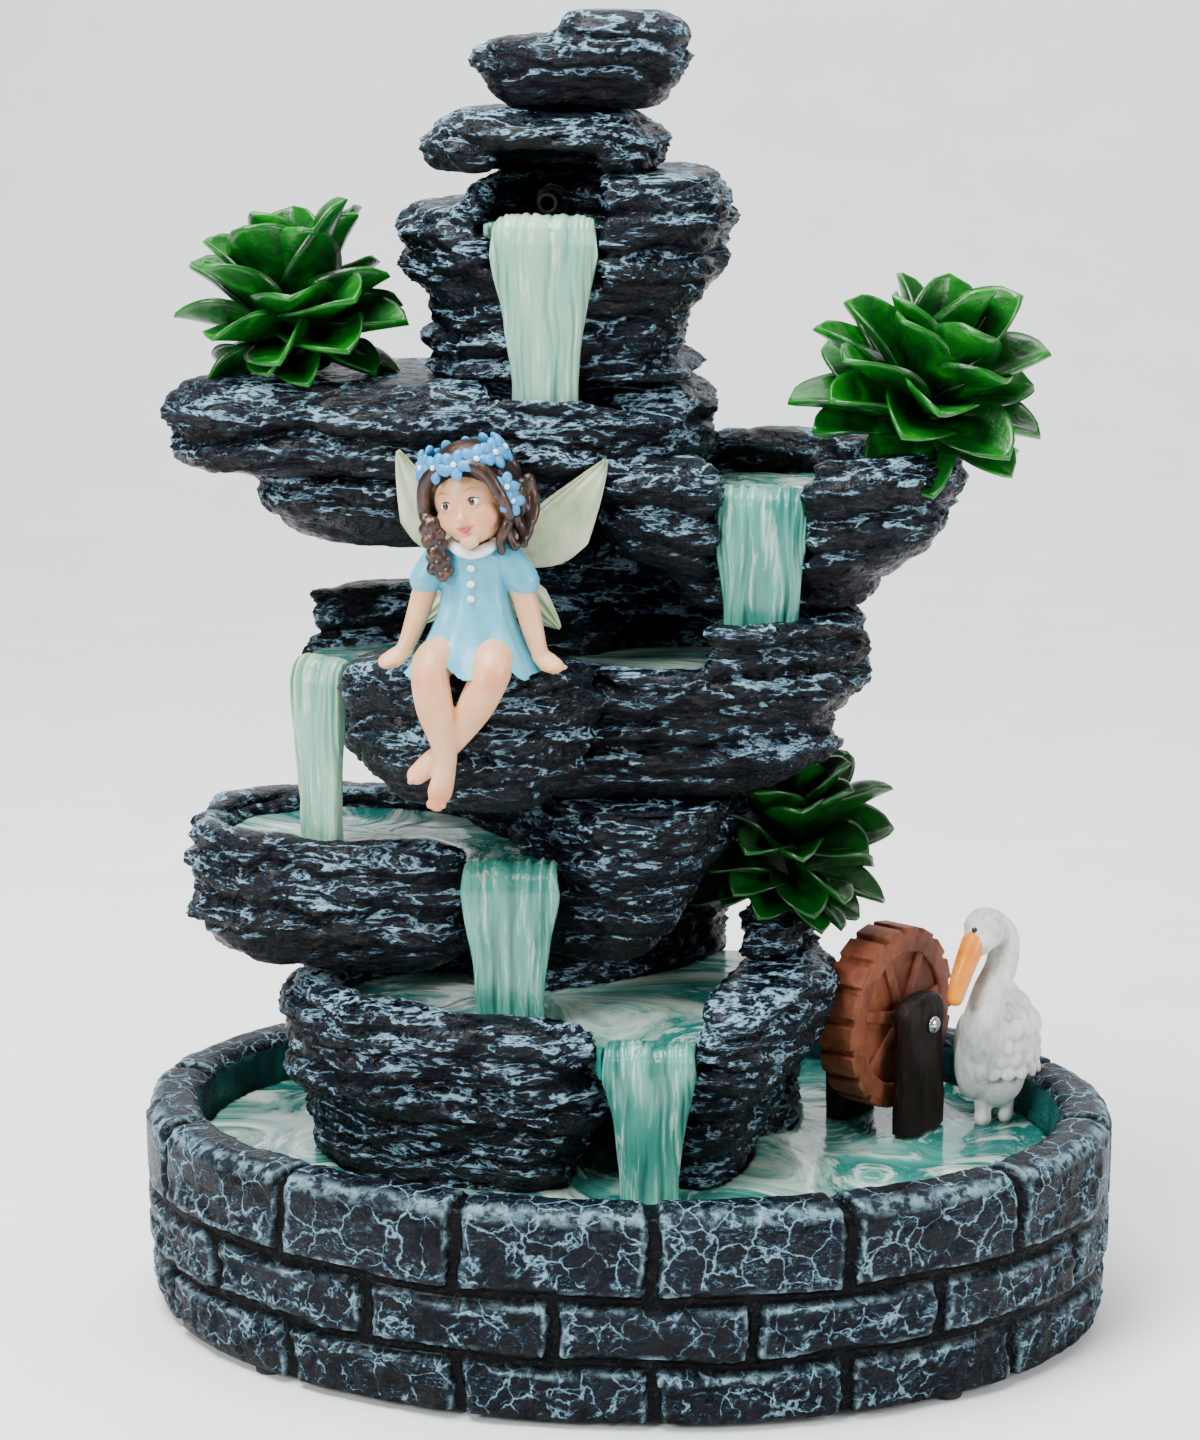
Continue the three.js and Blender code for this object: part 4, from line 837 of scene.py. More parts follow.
for name, (step, spacing, swirl) in POOLS.items():
    pool = cad_copy(name + "_pool_resin", "pool_" + name)
    remesh(pool, step)
    if name in LIPS:
        tuck(pool.data, *LIPS[name])
    low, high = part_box("pool_" + name)
    mark_flow(
        pool.data, [(a + b) / 2 for a, b in zip(low, high)], [(b - a) / 2 for a, b in zip(low, high)],
        spacing * MM, swirl,
    )
    run_tree(
        pool, teased_ripples,
        {"Height": 1.0 * MM if name == "basin" else 0.8 * MM,
         "Material": basin_water if name == "basin" else tier_water},
    )
    stand(pool, main_body, ["pool_" + name])


# ---------------------------------------------------------------- waterfalls
# Five hanging sheets of translucent resin, cast flat, bent warm over the lips and glued top and foot. Each is
# ribbed from top to bottom, with white brushed down the ribs and a rounded shoulder where it leaves its lip.
def hanging_resin(name, top, body, shade, streak, amount):
    material, tree, shader = painted(name, 0.2, coat=0.3)
    rib = attribute(tree, "rib")
    fine = object_noise(tree, 1.7, (1, 1, 9), detail=5, rough=0.65, distortion=0.7)
    broad = object_noise(tree, 9.0, (1, 1, 5), detail=3)
    colour = ramp(tree, broad, (0.35, body), (0.68, top))
    # Painted shade: the valleys between the ribs are darkened towards the shade colour.
    colour = mix(tree, ramp(tree, rib, (0.15, 0.6), (0.42, 0.0)), colour, linear(shade))
    white = total(tree, times(tree, rib, 0.4), times(tree, fine, 1.0), -0.36)
    colour = mix(tree, ramp(tree, white, (0.42, 0.0), (0.62, amount)), colour, linear(streak))
    colour_with(tree, shader, colour)
    shader.inputs["Subsurface Weight"].default_value = 0.15
    shader.inputs["Subsurface Radius"].default_value = (0.002, 0.004, 0.004)
    bump(tree, shader, fine, 0.5, 0.8)
    return material


pale_fall = hanging_resin("translucent_resin_pale", "#a3c7a8", "#79b096", "#4a9079", "#e2f0e4", 0.6)
teal_fall = hanging_resin("translucent_resin_teal", "#56a491", "#2b7d70", "#0d514b", "#cfe8dc", 0.6)
FALLS = {
    # fall: material, width at the lip, widest, and at the foot in mm, and the turn of its face
    "spring": (pale_fall, 27, 31, 19, 0.0),
    "right": (teal_fall, 25, 27, 21, 0.0),
    "left": (pale_fall, 17, 19, 14, -0.5),
    "middle": (teal_fall, 26, 29, 20, 0.0),
    "lower": (teal_fall, 25, 27, 17, 0.0),
}
FALL_THICKNESS, AROUND, DOWN = 6.0 * MM, 150, 96


def fall_mesh(name, width_lip, width_wide, width_foot, drop, seed, behind=4.5):
    """A ribbed ribbon from behind its lip, over it and down: origin at the lip, facing -Y."""
    path = [(behind, 0.4), (behind / 3, 0.5), (-1.2, 0.1), (-2.6, -2.0), (-3.0, -5.5)]
    path = [(y * MM, z * MM) for y, z in path]
    path += [((-3.0 + 1.0 * t) * MM, -5.5 * MM + (5.5 * MM - drop) * t) for t in np.linspace(0.06, 1, 30)]
    path = np.array(path)
    lengths = np.concatenate([[0], np.cumsum(np.hypot(*np.diff(path, axis=0).T))])
    s = np.linspace(0, lengths[-1], DOWN)
    ys, zs = np.interp(s, lengths, path[:, 0]), np.interp(s, lengths, path[:, 1])
    rings, rib_values = [], []
    for k in range(DOWN):
        t = s[k] / lengths[-1]
        bulge = math.exp(-(((t - 0.3) / 0.2) ** 2))
        width = width_lip + (width_foot - width_lip) * min(1.0, max(0.0, (t - 0.25) / 0.6)) ** 0.8
        width = (width + (width_wide - width_lip) * bulge) * MM / 2
        # a slow sway of either edge
        width_left = width * (1 + 0.05 * noise.noise((seed, t * 4, 1)))
        width_right = width * (1 + 0.05 * noise.noise((seed, t * 4, 7)))
        before, after = max(k - 1, 0), min(k + 1, DOWN - 1)
        tangent = Vector((0, ys[after] - ys[before], zs[after] - zs[before])).normalized()
        front = Vector((0, tangent.z, -tangent.y))
        thick = FALL_THICKNESS / 2 * (0.55 + 0.45 * min(1.0, t / 0.15)) * (1.0 + 0.25 * bulge)
        ring = []
        for i in range(AROUND):
            phi = 2 * math.pi * i / AROUND
            c, sn = math.cos(phi), math.sin(phi)
            u = math.copysign(abs(c) ** 0.7, c)
            v = math.copysign(abs(sn) ** 0.55, sn)
            side = u * (width_right if u > 0 else width_left)
            sway = 0.9 * noise.noise((side / (9 * MM), t * 3.0, seed))
            ribs = 1.3 * noise.noise((side / (1.7 * MM) + sway, seed, t * 1.6))
            ribs += 0.8 * noise.noise((side / (0.9 * MM) + 2 * sway, seed, t * 3))
            out = v * thick + (0.95 * MM * ribs * min(1.0, t / 0.06) if v > 0 else 0)
            ring.append(Vector((side, ys[k], zs[k])) + front * out)
            rib_values.append(0.5 + 0.5 * max(-1.0, min(1.0, ribs)))
        rings.append(ring)
    points = [p for ring in rings for p in ring]
    mesh = mesh_of(name, points, tube_faces(DOWN, AROUND))
    store(mesh, "rib", rib_values)
    return mesh


def face_out(mesh):
    """Recalculates a closed mesh's normals so that they point out."""
    shape = bmesh.new()
    shape.from_mesh(mesh)
    bmesh.ops.remove_doubles(shape, verts=shape.verts, dist=0.002 * MM)
    bmesh.ops.recalc_face_normals(shape, faces=shape.faces)
    shape.to_mesh(mesh)
    shape.free()
    return mesh


for number, (name, (material, lip_width, widest, foot_width, turned)) in enumerate(FALLS.items()):
    low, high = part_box("fall_" + name)
    lip = high[2] - 2.4 * MM
    sheet_mesh = fall_mesh(name + "_fall", lip_width, widest, foot_width, lip - low[2], 3.1 * number,
                           1.5 if turned else 4.5)
    middle_y = (low[1] + high[1]) / 2 if turned else high[1] - 4 * MM
    place = Matrix.Translation(((low[0] + high[0]) / 2, middle_y, lip)) @ Matrix.Rotation(turned, 4, "Z")
    sheet_mesh.transform(place)
    fall = link(name + "_fall", face_out(sheet_mesh), material)
    stand(fall, main_body, ["fall_" + name])


# ---------------------------------------------------------------- plants
# Three rosettes of thick, cupped, pointed leaves on short dark stems, each one casting, brushed deep green
# and finished with wet-look varnish. The near-black stems, the dark foot of each leaf and the darker low
# plant are painted shade.
def varnished_leaf(name, deep, middle, fresh):
    """Wet-look varnish over brushed green, painted shade at each leaf's foot and fresher towards its tip."""
    material, tree, shader = painted(name, 0.3, coat=0.3, specular=0.3)
    shader.inputs["Coat Roughness"].default_value = 0.16
    blade = attribute(tree, "blade")
    green = ramp(tree, object_noise(tree, 8.0, detail=5, distortion=0.6), (0.32, deep), (0.55, middle),
        (0.76, fresh))
    # Painted shade: near-black green at the foot of each leaf, where the leaves crowd together.
    green = mix(tree, ramp(tree, blade, (0.05, 0.9), (0.45, 0.0)), green, linear("#011005"))
    green = mix(tree, ramp(tree, blade, (0.65, 0.0), (1.0, 0.4)), green, linear(fresh))
    colour_with(tree, shader, green)
    bump(tree, shader, object_noise(tree, 2.4, detail=4), 0.35, 0.8)
    return material


bright_leaf = varnished_leaf("wet_varnished_leaf_resin", "#012409", "#06490d", "#128419")
# The low plant's copy of the leaf paint is darker all over: painted shade, as if that plant stood in shadow.
painted_shade_leaf = varnished_leaf("varnished_leaf_resin_in_painted_shade", "#011a06", "#043509", "#0b5c12")
# Painted shade: the stems' heart is near-black green, standing for the shade inside each rosette.
leaf_shade, tree, shader = painted("shaded_leaf_resin", 0.5)
colour_with(tree, shader, ramp(tree, object_noise(tree, 5.0), (0.3, "#02140a"), (0.7, "#06300f")))
bump(tree, shader, object_noise(tree, 2.0), 0.4, 0.8)


def joined(name, parts):
    """One mesh of several (points, faces) parts."""
    points, faces = [], []
    for part_points, part_faces in parts:
        start = len(points)
        points += [tuple(p) for p in part_points]
        faces += [tuple(start + i for i in face) for face in part_faces]
    return mesh_of(name, points, faces)


def two_sided_faces(rows, columns):
    """Faces of a closed sheet: a front grid of points, a back grid, and the strips that join their edges."""
    count, faces = columns + 1, []
    offset = (rows + 1) * count
    for r in range(rows):
        for c in range(columns):
            a = r * count + c
            faces.append((a, a + 1, a + count + 1, a + count))
            faces.append((offset + a + count, offset + a + count + 1, offset + a + 1, offset + a))
    for r in range(rows):
        for c in (0, columns):
            a = r * count + c
            quad = (a, a + count, offset + a + count, offset + a)
            faces.append(quad if c == 0 else quad[::-1])
    for r in (0, rows):
        for c in range(columns):
            a = r * count + c
            quad = (a + 1, a, offset + a, offset + a + 1)
            faces.append(quad if r == 0 else quad[::-1])
    return faces


def leaf_mesh(name, length, width, thickness, cup, curl, wave=0.0, rows=20, columns=12):
    """A closed leaf from its foot at the origin along +Y, cupped upward, its tip drawn to a curled point."""
    points, blades = [], []
    for side in (1, -1):
        for r in range(rows + 1):
            t = r / rows
            half = width / 2 * max(0.03, (0.34 + 0.66 * math.sin(math.pi / 2 * min(1.0, t / 0.5)))
                                   * (1.0 if t < 0.5 else math.cos(math.pi / 2 * (t - 0.5) / 0.5) ** 0.46))
            for c in range(columns + 1):
                u = 2 * c / columns - 1
                rise = cup * half * abs(u) ** 1.7 - curl * length * t**2.2
                rise += wave * width * u * math.sin(6.5 * t)
                edge = math.sqrt(1 - abs(u) ** 3)
                groove = 0.09 * width * math.exp(-((u / 0.2) ** 2)) * (1 - t)
                lift = side * thickness / 2 * edge * (1 - 0.6 * t) - (groove if side > 0 else 0.6 * groove)
                points.append((u * half, length * t, rise + lift))
                blades.append(t)
    mesh = mesh_of(name, points, two_sided_faces(rows, columns))
    store(mesh, "blade", blades)
    return face_out(mesh)


def planting_tree():
    """Sets one leaf on every point of a rosette, turned and sized by the point's own values."""
    tree, given, result = new_tree("set_leaves", Leaf=("Object", None), Material=("Material", None))
    leaf = add(tree, "GeometryNodeObjectInfo", {"Object": given["Leaf"]}).outputs["Geometry"]
    sized = field(tree, "sized", "FLOAT_VECTOR")
    rotation = add(tree, "FunctionNodeEulerToRotation", {0: field(tree, "turned", "FLOAT_VECTOR")}).outputs[0]
    planted = add(
        tree,
        "GeometryNodeInstanceOnPoints",
        {"Points": given["Geometry"], "Instance": leaf, "Rotation": rotation, "Scale": sized},
    )
    return finish_tree(tree, planted.outputs[0], given, result)


set_leaves = planting_tree()


def planted(name, spots, leaf, material):
    """One mesh of the leaf set at each spot of (place, Euler turn, size)."""
    points = bpy.data.meshes.new(name)
    points.from_pydata([tuple(place) for place, _, _ in spots], [], [])
    for label, index in (("turned", 1), ("sized", 2)):
        values = []
        for spot in spots:
            values += [float(v) for v in (spot[index] if hasattr(spot[index], "__len__") else (spot[index],
                ) * 3)]
        points.attributes.new(label, "FLOAT_VECTOR", "POINT").data.foreach_set("vector", values)
    piece = link(name, points, smooth=False)
    return run_tree(piece, set_leaves, {"Leaf": leaf, "Material": material})


def ball_part(centre, radii, turned=(0, 0, 0), around=24, down=16):
    """A closed ellipsoid part."""
    spin = Euler(turned).to_matrix()
    centre = Vector(centre)
    points = [centre + spin @ Vector((0, 0, -radii[2]))]
    for k in range(1, down):
        t = -math.pi / 2 + math.pi * k / down
        points += [
            centre + spin @ Vector((radii[0] * math.cos(t) * math.cos(2 * math.pi * i / around),
                                    radii[1] * math.cos(t) * math.sin(2 * math.pi * i / around),
                                    radii[2] * math.sin(t)))
            for i in range(around)
        ]
    points.append(centre + spin @ Vector((0, 0, radii[2])))
    faces = [(0, 1 + (i + 1) % around, 1 + i) for i in range(around)]
    for k in range(down - 2):
        start = 1 + k * around
        faces += [
            (start + i, start + (i + 1) % around, start + around + (i + 1) % around, start + around + i)
            for i in range(around)
        ]
    start, last = 1 + (down - 2) * around, len(points) - 1
    faces += [(start + i, start + (i + 1) % around, last) for i in range(around)]
    return points, faces


broad_leaf = link("broad_leaf", leaf_mesh("broad_leaf", 32 * MM, 21.5 * MM, 4.2 * MM, 0.5, 0.12, 0.05))
# Rings of leaves from the outside in: how many, tilt from upright in degrees, height on the stem in mm, size.
FULL_RINGS = [(9, 102, 7, 0.86), (9, 80, 9, 1.0), (8, 58, 11, 1.04), (6, 36, 13, 1.06), (3, 14, 14, 1.08)]
SIDE_RINGS = [(8, 104, 6, 0.72), (8, 84, 10, 0.84), (7, 62, 15, 0.88), (6, 42, 19, 0.9), (3, 18, 21, 0.9)]
PLANTS = {
    # plant: foot in mm, rings, first and last heading of its leaves in degrees, lean of the whole, stem in mm
    "left": ((-97, 4), FULL_RINGS, (0, 360), (0.05, -0.05), (12, 15)),
    "right": ((84, 2), FULL_RINGS, (0, 360), (0.22, 0.2), (12, 15)),
    "low": ((44, 14), SIDE_RINGS, (80, 350), (0.1, 0.2), (9, 18)),
}
dice = random.Random(7)
for name, ((foot_x, foot_y), rings, (first, last), lean, (stem_radius, stem_height)) in PLANTS.items():
    foot = Vector((foot_x * MM, foot_y * MM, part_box("plant_" + name)[0][2]))
    whole_lean = Euler((lean[0], lean[1], 0)).to_matrix()
    spots = []
    for ring, (count, tilt, rise, length) in enumerate(rings):
        for i in range(count):
            even = first + (last - first) * (i + 0.5 * (ring % 2)) / count
            heading = math.radians(even + dice.uniform(-10, 10))
            pitch = math.pi / 2 - math.radians(tilt + dice.uniform(-13, 9))
            turned = whole_lean @ (
                Matrix.Rotation(heading, 3, "Z")
                @ Matrix.Rotation(pitch, 3, "X")
                @ Matrix.Rotation(dice.uniform(-0.55, 0.55), 3, "Y")
            )
            start = foot + whole_lean @ Vector((0, 0, rise * MM)) + turned @ Vector((0, 3 * MM, 0))
            sized = (length * dice.uniform(0.92, 1.18), length * dice.uniform(0.9, 1.16), length)
            spots.append((start, turned.to_euler(), sized))
    # The low plant takes the leaf paint darkened as painted shade.
    plant = planted(name + "_plant_leaves", spots, broad_leaf, painted_shade_leaf if name == "low" else bright_leaf)
    keep_inside(plant.data, *cad_box)
    stand(plant, main_body, ["plant_" + name])
    heart = ball_part((0, 0, stem_height * 0.55 * MM), (stem_radius * MM, stem_radius * MM,
        stem_height * 0.62 * MM))
    stem = link(name + "_plant_stem", face_out(joined(name + "_plant_stem", [heart])), leaf_shade)
    stem.data.transform(Matrix.Translation(foot))
    stem.data.vertices.foreach_set(
        "co", [v for p in stem.data.vertices for v in (p.co.x, p.co.y, max(p.co.z, foot.z + 0.1 * MM))]
    )
    stand(stem, main_body, ["plant_" + name])


# ---------------------------------------------------------------- water wheel
# A small mill wheel cast in resin: two rims, a solid web nearly level with them, raised spokes and paddle
# slats, brushed as stained terracotta-brown timber. It turns on a polished pin between two log posts.
stained_timber, tree, shader = painted("stained_timber_resin", 0.6, specular=0.3)
grain = object_noise(tree, 3.0, (2, 2, 2), detail=6, rough=0.6, distortion=1.0)
colour_with(tree, shader, ramp(tree, grain, (0.25, "#54291a"), (0.5, "#7b4129"), (0.75, "#8c5236")))
bump(tree, shader, grain, 0.4, 0.8)
dark_log, tree, shader = painted("smoked_log_resin", 0.5, specular=0.2)
bark = object_noise(tree, 3.0, (1, 1, 7), detail=6, rough=0.6, distortion=0.8)
colour_with(tree, shader, ramp(tree, bark, (0.35, "#080403"), (0.55, "#190d08"), (0.78, "#3c2418")))
bump(tree, shader, bark, 0.8, 0.9)
polished_steel, tree, shader = painted("polished_steel_pin", 0.22)
shader.inputs["Metallic"].default_value = 1.0
colour_with(tree, shader, ramp(tree, object_noise(tree, 4.0), (0.3, "#a9adb2"), (0.7, "#cfd2d6")))

axle = next(joint for joint in frame["joints"] if joint["name"] == "wheel_spin")
axle_way = Vector(axle["axis"]).normalized()
hub = Vector(axle["pos_m"])
across = axle_way.cross(Vector((0, 0, 1))).normalized()
# Built with the axle along Z and Y up, then stood in the basin.
upright = Matrix((across, Vector((0, 0, 1)), axle_way)).transposed()
if upright.determinant() < 0:
    upright = Matrix((-across, Vector((0, 0, 1)), axle_way)).transposed()
in_basin = Matrix.Translation(hub) @ upright.to_4x4()
RADIUS, WIDTH, RIM_WIDTH = 28.5 * MM, 13 * MM, 8 * MM
SLATS, SPOKES, ROUND = 18, 7, 96

half = WIDTH / 2
face = half - 1.5 * MM  # the web's two faces lie just below the rims
wheel_parts = []
for side in (-1, 1):
    z_out, z_in = side * half, side * (half - 3.2 * MM)
    profile = [
        (RADIUS - RIM_WIDTH, z_in), (RADIUS - RIM_WIDTH, z_out - side * 0.5 * MM),
        (RADIUS - RIM_WIDTH + 0.6 * MM, z_out), (RADIUS - 2.4 * MM, z_out),
        (RADIUS - 1.6 * MM, z_out - side * 0.7 * MM), (RADIUS - 1.6 * MM, z_in),
    ]
    wheel_parts.append(lathe(profile, ROUND))
web = [(2.0 * MM, -face), (2.0 * MM, face), (RADIUS - 4 * MM, face), (RADIUS - 4 * MM, -face)]
wheel_parts.append(lathe(web, ROUND))
wheel_parts.append(lathe([(2.0 * MM, -half), (2.0 * MM, half), (4.2 * MM, half), (5.0 * MM, half - 0.8 * MM),
                          (5.0 * MM, -half + 0.8 * MM), (4.2 * MM, -half)], 40))
wheel_parts.append(lathe([(RADIUS - 7 * MM, -half + 1 * MM), (RADIUS - 7 * MM, half - 1 * MM),
                          (RADIUS - 1.8 * MM, half - 1 * MM), (RADIUS - 1.8 * MM, -half + 1 * MM)], ROUND))
for i in range(SLATS):
    low_corner = (RADIUS - 5 * MM, -3.5 * MM, -half + 0.3 * MM)
    high_corner = (RADIUS - 0.3 * MM, 3.5 * MM, half - 0.3 * MM)
    wheel_parts.append(bar_part(low_corner, high_corner, 2 * math.pi * i / SLATS))
for i in range(SPOKES):
    for side in (-1, 1):
        z0, z1 = sorted((side * (face - 1 * MM), side * (half - 0.3 * MM)))
        low_corner, high_corner = (4.5 * MM, -1.9 * MM, z0), (RADIUS - RIM_WIDTH + 0.5 * MM, 1.9 * MM, z1)
        wheel_parts.append(bar_part(low_corner, high_corner, 2 * math.pi * i / SPOKES + 0.2))
wheel = link("mill_wheel", face_out(joined("mill_wheel", wheel_parts)))
wheel.data.transform(in_basin)
rounding = wheel.modifiers.new("worn_edges", "BEVEL")
rounding.width, rounding.segments, rounding.limit_method = 0.45 * MM, 2, "ANGLE"
settle(wheel)
wheel.data.materials.clear()
wheel.data.materials.append(stained_timber)
stand(wheel, "wheel", ["water_wheel"])

# The posts are short logs with domed tops, rough-barked on the side that faces out.
POST_WIDTH, POST_THICK, POST_TOP = 21 * MM, 9 * MM, 9 * MM
post_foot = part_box("wheel_post_front")[0][2] - hub.z
for side, name in ((1, "front"), (-1, "rear")):
    levels, around = 44, 40
    post_points = []
    for k in range(levels + 1):
        t = k / levels
        y = post_foot + (POST_TOP - post_foot) * t
        dome = math.sqrt(max(0.0, 1 - max(0.0, (t - 0.86) / 0.14) ** 2))
        half_width = POST_WIDTH / 2 * (0.25 + 0.75 * dome) * (1 + 0.05 * math.sin(7 * t + side))
        for i in range(around):
            phi = 2 * math.pi * i / around
            c, s = math.cos(phi), math.sin(phi)
            x = half_width * math.copysign(abs(c) ** 0.7, c)
            depth = POST_THICK / 2 * math.copysign(abs(s) ** 0.6, s) * (0.5 + 0.5 * dome)
            rough = 0.7 * MM * noise.noise((x / (2.4 * MM), t * 5, side * 3 + s))
            z = half + 1.5 * MM + POST_THICK / 2 + depth + (rough if s > 0 else 0)
            post_points.append((x + 0.4 * rough, y, side * z))
    log = mesh_of(name + "_log_post", post_points, tube_faces(levels + 1, around))
    post = link(name + "_log_post", log, dark_log)
    face_out(post.data)
    post.data.transform(in_basin)
    stand(post, main_body, ["wheel_post_" + name])

pin_end = half + 1.5 * MM + POST_THICK + 0.3 * MM
dome = [
    (2.8 * math.cos(t) * MM, pin_end + 1.9 * math.sin(t) * MM) for t in np.linspace(0, math.pi / 2 * 0.99, 7)
]
pin_profile = [(r, -z) for r, z in dome[::-1]] + [(1.5 * MM, -pin_end), (1.5 * MM, pin_end)] + dome
pin_points, pin_faces = lathe(pin_profile, 32)
pin = link("axle_pin", face_out(mesh_of("axle_pin", pin_points, pin_faces)), polished_steel)
pin.data.transform(in_basin)
stand(pin, main_body, ["wheel_axle"])


# ---------------------------------------------------------------- swan
# A white swan standing in the basin with its bill tucked down, sculpted in the round and cast solid: matt
# off-white feathers, a yellow-orange bill and small black eyes.
def smooth_path(points, count):
    """Points evenly along a smooth curve through the given ones, which may carry a radius as well."""
    points = np.array(points, float)
    padded = np.vstack([2 * points[0] - points[1], points, 2 * points[-1] - points[-2]])
    out = []
    spans = len(points) - 1
    for i in range(count):
        t = i / (count - 1) * spans
        k = min(int(t), spans - 1)
        f = t - k
        a, b, c, d = padded[k : k + 4]
        curve = 2 * b + (c - a) * f + (2 * a - 5 * b + 4 * c - d) * f * f + (3 * b - a - 3 * c + d) * f**3
        out.append(0.5 * curve)
    return out


def limb_part(points, count=20, around=14, flat=1.0):
    """A tapering round limb through (x, y, z, radius) points in millimetres, with domed ends."""
    path = smooth_path(points, count)
    centres = []
    side = None
    for i, p in enumerate(path):
        before, after = path[max(i - 1, 0)], path[min(i + 1, count - 1)]
        tangent = Vector(after[:3] - before[:3]).normalized()
        if side is None:
            side = tangent.orthogonal().normalized()
        side = (side - tangent * side.dot(tangent)).normalized()
        up = tangent.cross(side)
        centres.append((Vector(p[:3]), tangent, side, up, max(0.05, float(p[3]))))
    stations = []
    for sign, index in ((-1, 0), (1, -1)):
        centre, tangent, side_way, up, radius = centres[index]
        dome = [
            (centre + tangent * sign * radius * math.sin(t), side_way, up, radius * math.cos(t))
            for t in np.linspace(math.pi / 2 * 0.97, 0.3, 4)
        ]
        stations.append(dome if sign < 0 else dome[::-1])
    line = stations[0] + [(c, s, u, r) for c, _, s, u, r in centres] + stations[1]
    points_out = []
    for centre, side_way, up, radius in line:
        points_out += [
            centre + radius * (math.cos(2 * math.pi * i / around) * side_way
                               + flat * math.sin(2 * math.pi * i / around) * up)
            for i in range(around)
        ]
    return points_out, tube_faces(len(line), around)


def sculpted(name, parts, origin, grain_mm, passes, material):
    """Parts in millimetres from an origin, run together into one smooth casting."""
    mesh = joined(name, parts)
    mesh.transform(Matrix.Translation(origin) @ Matrix.Scale(MM, 4))
    piece = link(name, face_out(mesh), material)
    remesh(piece, grain_mm)
    if passes:
        softening = piece.modifiers.new("softened", "SMOOTH")
        softening.factor, softening.iterations = 0.5, passes
        settle(piece)
    piece.data.materials.clear()
    piece.data.materials.append(material)
    return piece


def plain_paint(name, darker, lighter, rough, size_mm=6.0, coat=0.1, depth=0.12, skin=0.0):
    """Hand-brushed acrylic on resin: one colour with faint brush clouding."""
    material, tree, shader = painted(name, rough, coat=coat)
    cloud = object_noise(tree, size_mm, detail=4)
    colour_with(tree, shader, ramp(tree, cloud, (0.3, darker), (0.7, lighter)))
    if skin:
        shader.inputs["Subsurface Weight"].default_value = skin
        shader.inputs["Subsurface Radius"].default_value = (0.002, 0.001, 0.0006)
    bump(tree, shader, object_noise(tree, 1.2, detail=3), depth, 0.5)
    return material


swan_white, tree, shader = painted("matt_white_feather_resin", 0.55)
feather = object_noise(tree, 3.4, (1, 1, 2.2), detail=5, distortion=0.8)
colour_with(tree, shader, ramp(tree, feather, (0.28, "#a9aaa4"), (0.48, "#d2d3ce"), (0.7, "#e9e9e5")))
bump(tree, shader, feather, 0.5, 0.6)
bill_yellow = plain_paint("gloss_bill_yellow", "#e06c00", "#f59b00", 0.35, coat=0.2)
bead_black = plain_paint("gloss_bead_black", "#040404", "#0b0b0c", 0.15, coat=0.6, depth=0.02)
swan_foot = Vector((112 * MM, 22 * MM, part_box("swan")[0][2]))
swan_parts = [
    ball_part((2.5, 4, 25), (12.5, 14.5, 14.0), (0.15, 0, 0)),
    ball_part((0.5, 3, 15), (10.2, 11.5, 11.5)),
    ball_part((5, 10, 30), (8.5, 11, 9), (0.5, 0, 0)),
    ball_part((-4, -3, 22), (7.5, 9, 14.5), (0.1, 0.12, 0.2)),
    ball_part((-8.2, -2.0, 25), (3.2, 8.5, 11.5), (0.5, 0, 0.2)),
    ball_part((11.5, 3, 26), (2.6, 10.5, 9.5), (0.45, 0, -0.2)),
    ball_part((6, 18, 33), (3.5, 7, 3.6), (0.7, 0, 0)),
    limb_part([(-3, -5, 24, 7.4), (-3.5, -10, 34, 6.4), (-1.5, -9.6, 44, 5.5), (2, -6, 52, 5.0),
    (2.6, -4, 60, 4.8),
               (-1, -6.4, 64.6, 5.2)]),
    ball_part((-3.4, -8.8, 64.4), (6.4, 7.0, 6.2), (0.5, 0.3, 0)),
    ball_part((-5.4, -11.8, 61.4), (4.8, 5.0, 4.8)),
    limb_part([(-2.5, -2, 8, 3.0), (-2.4, -2.2, 4, 2.6), (-2.5, -3.0, 1.4, 2.8)], 12),
    limb_part([(4.5, 3, 8, 3.0), (4.8, 2.4, 4, 2.4), (4.5, 1.0, 1.4, 2.6)], 12),
]
# Breast and back feathers: short overlapping scales laid in rows.
for row in range(4):
    for i in range(6):
        t = (i - 1.4 + 0.5 * (row % 2)) / 3.5
        place = (2 + 11.8 * math.sin(t * 1.3), 4 - 13.4 * math.cos(t * 1.3), 19 + 4.4 * row)
        swan_parts.append(ball_part(place, (2.6, 1.3, 3.6), (-0.35, 0, t * 1.3), 10, 8))
swan = sculpted("standing_swan", swan_parts, swan_foot, 0.55, 3, swan_white)
stand(swan, main_body, ["swan"])
bill = sculpted(
    "swan_bill",
    [limb_part([(-6.8, -13.8, 61.2, 3.9), (-8.8, -16.6, 56.5, 3.5), (-10.8, -18.6, 50.5, 3.1),
    (-12.0, -20.0, 45.5, 2.5)], 18)],
    swan_foot, 0.4, 2, bill_yellow,
)
stand(bill, main_body, ["swan"])
eyes = sculpted(
    "swan_eyes",
    [ball_part((-6.6, -14.4, 65.4), (1.0, 1.0, 1.0), around=12, down=8),
    ball_part((-8.9, -8.6, 65.6), (0.9, 1.0, 1.0), around=12, down=8)],
    swan_foot, 0.2, 1, bead_black,
)
stand(eyes, main_body, ["swan"])


# ---------------------------------------------------------------- fairy
# A girl of about 105 mm sitting with crossed bare feet, hand-painted: one resin casting in skin, dress and
# hair, with a wreath of modelled flowers. Her face is small, round and calm.
seat = Vector((-41 * MM, -50 * MM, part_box("fairy_wing_right")[0][2] - 4 * MM))
skin, tree, shader = painted("hand_painted_skin_resin", 0.42, coat=0.1)
shader.inputs["Subsurface Weight"].default_value = 0.2
shader.inputs["Subsurface Radius"].default_value = (0.003, 0.0014, 0.0008)
tone = ramp(tree, object_noise(tree, 8.0, detail=3), (0.3, "#d9a070"), (0.7, "#e6b38a"))
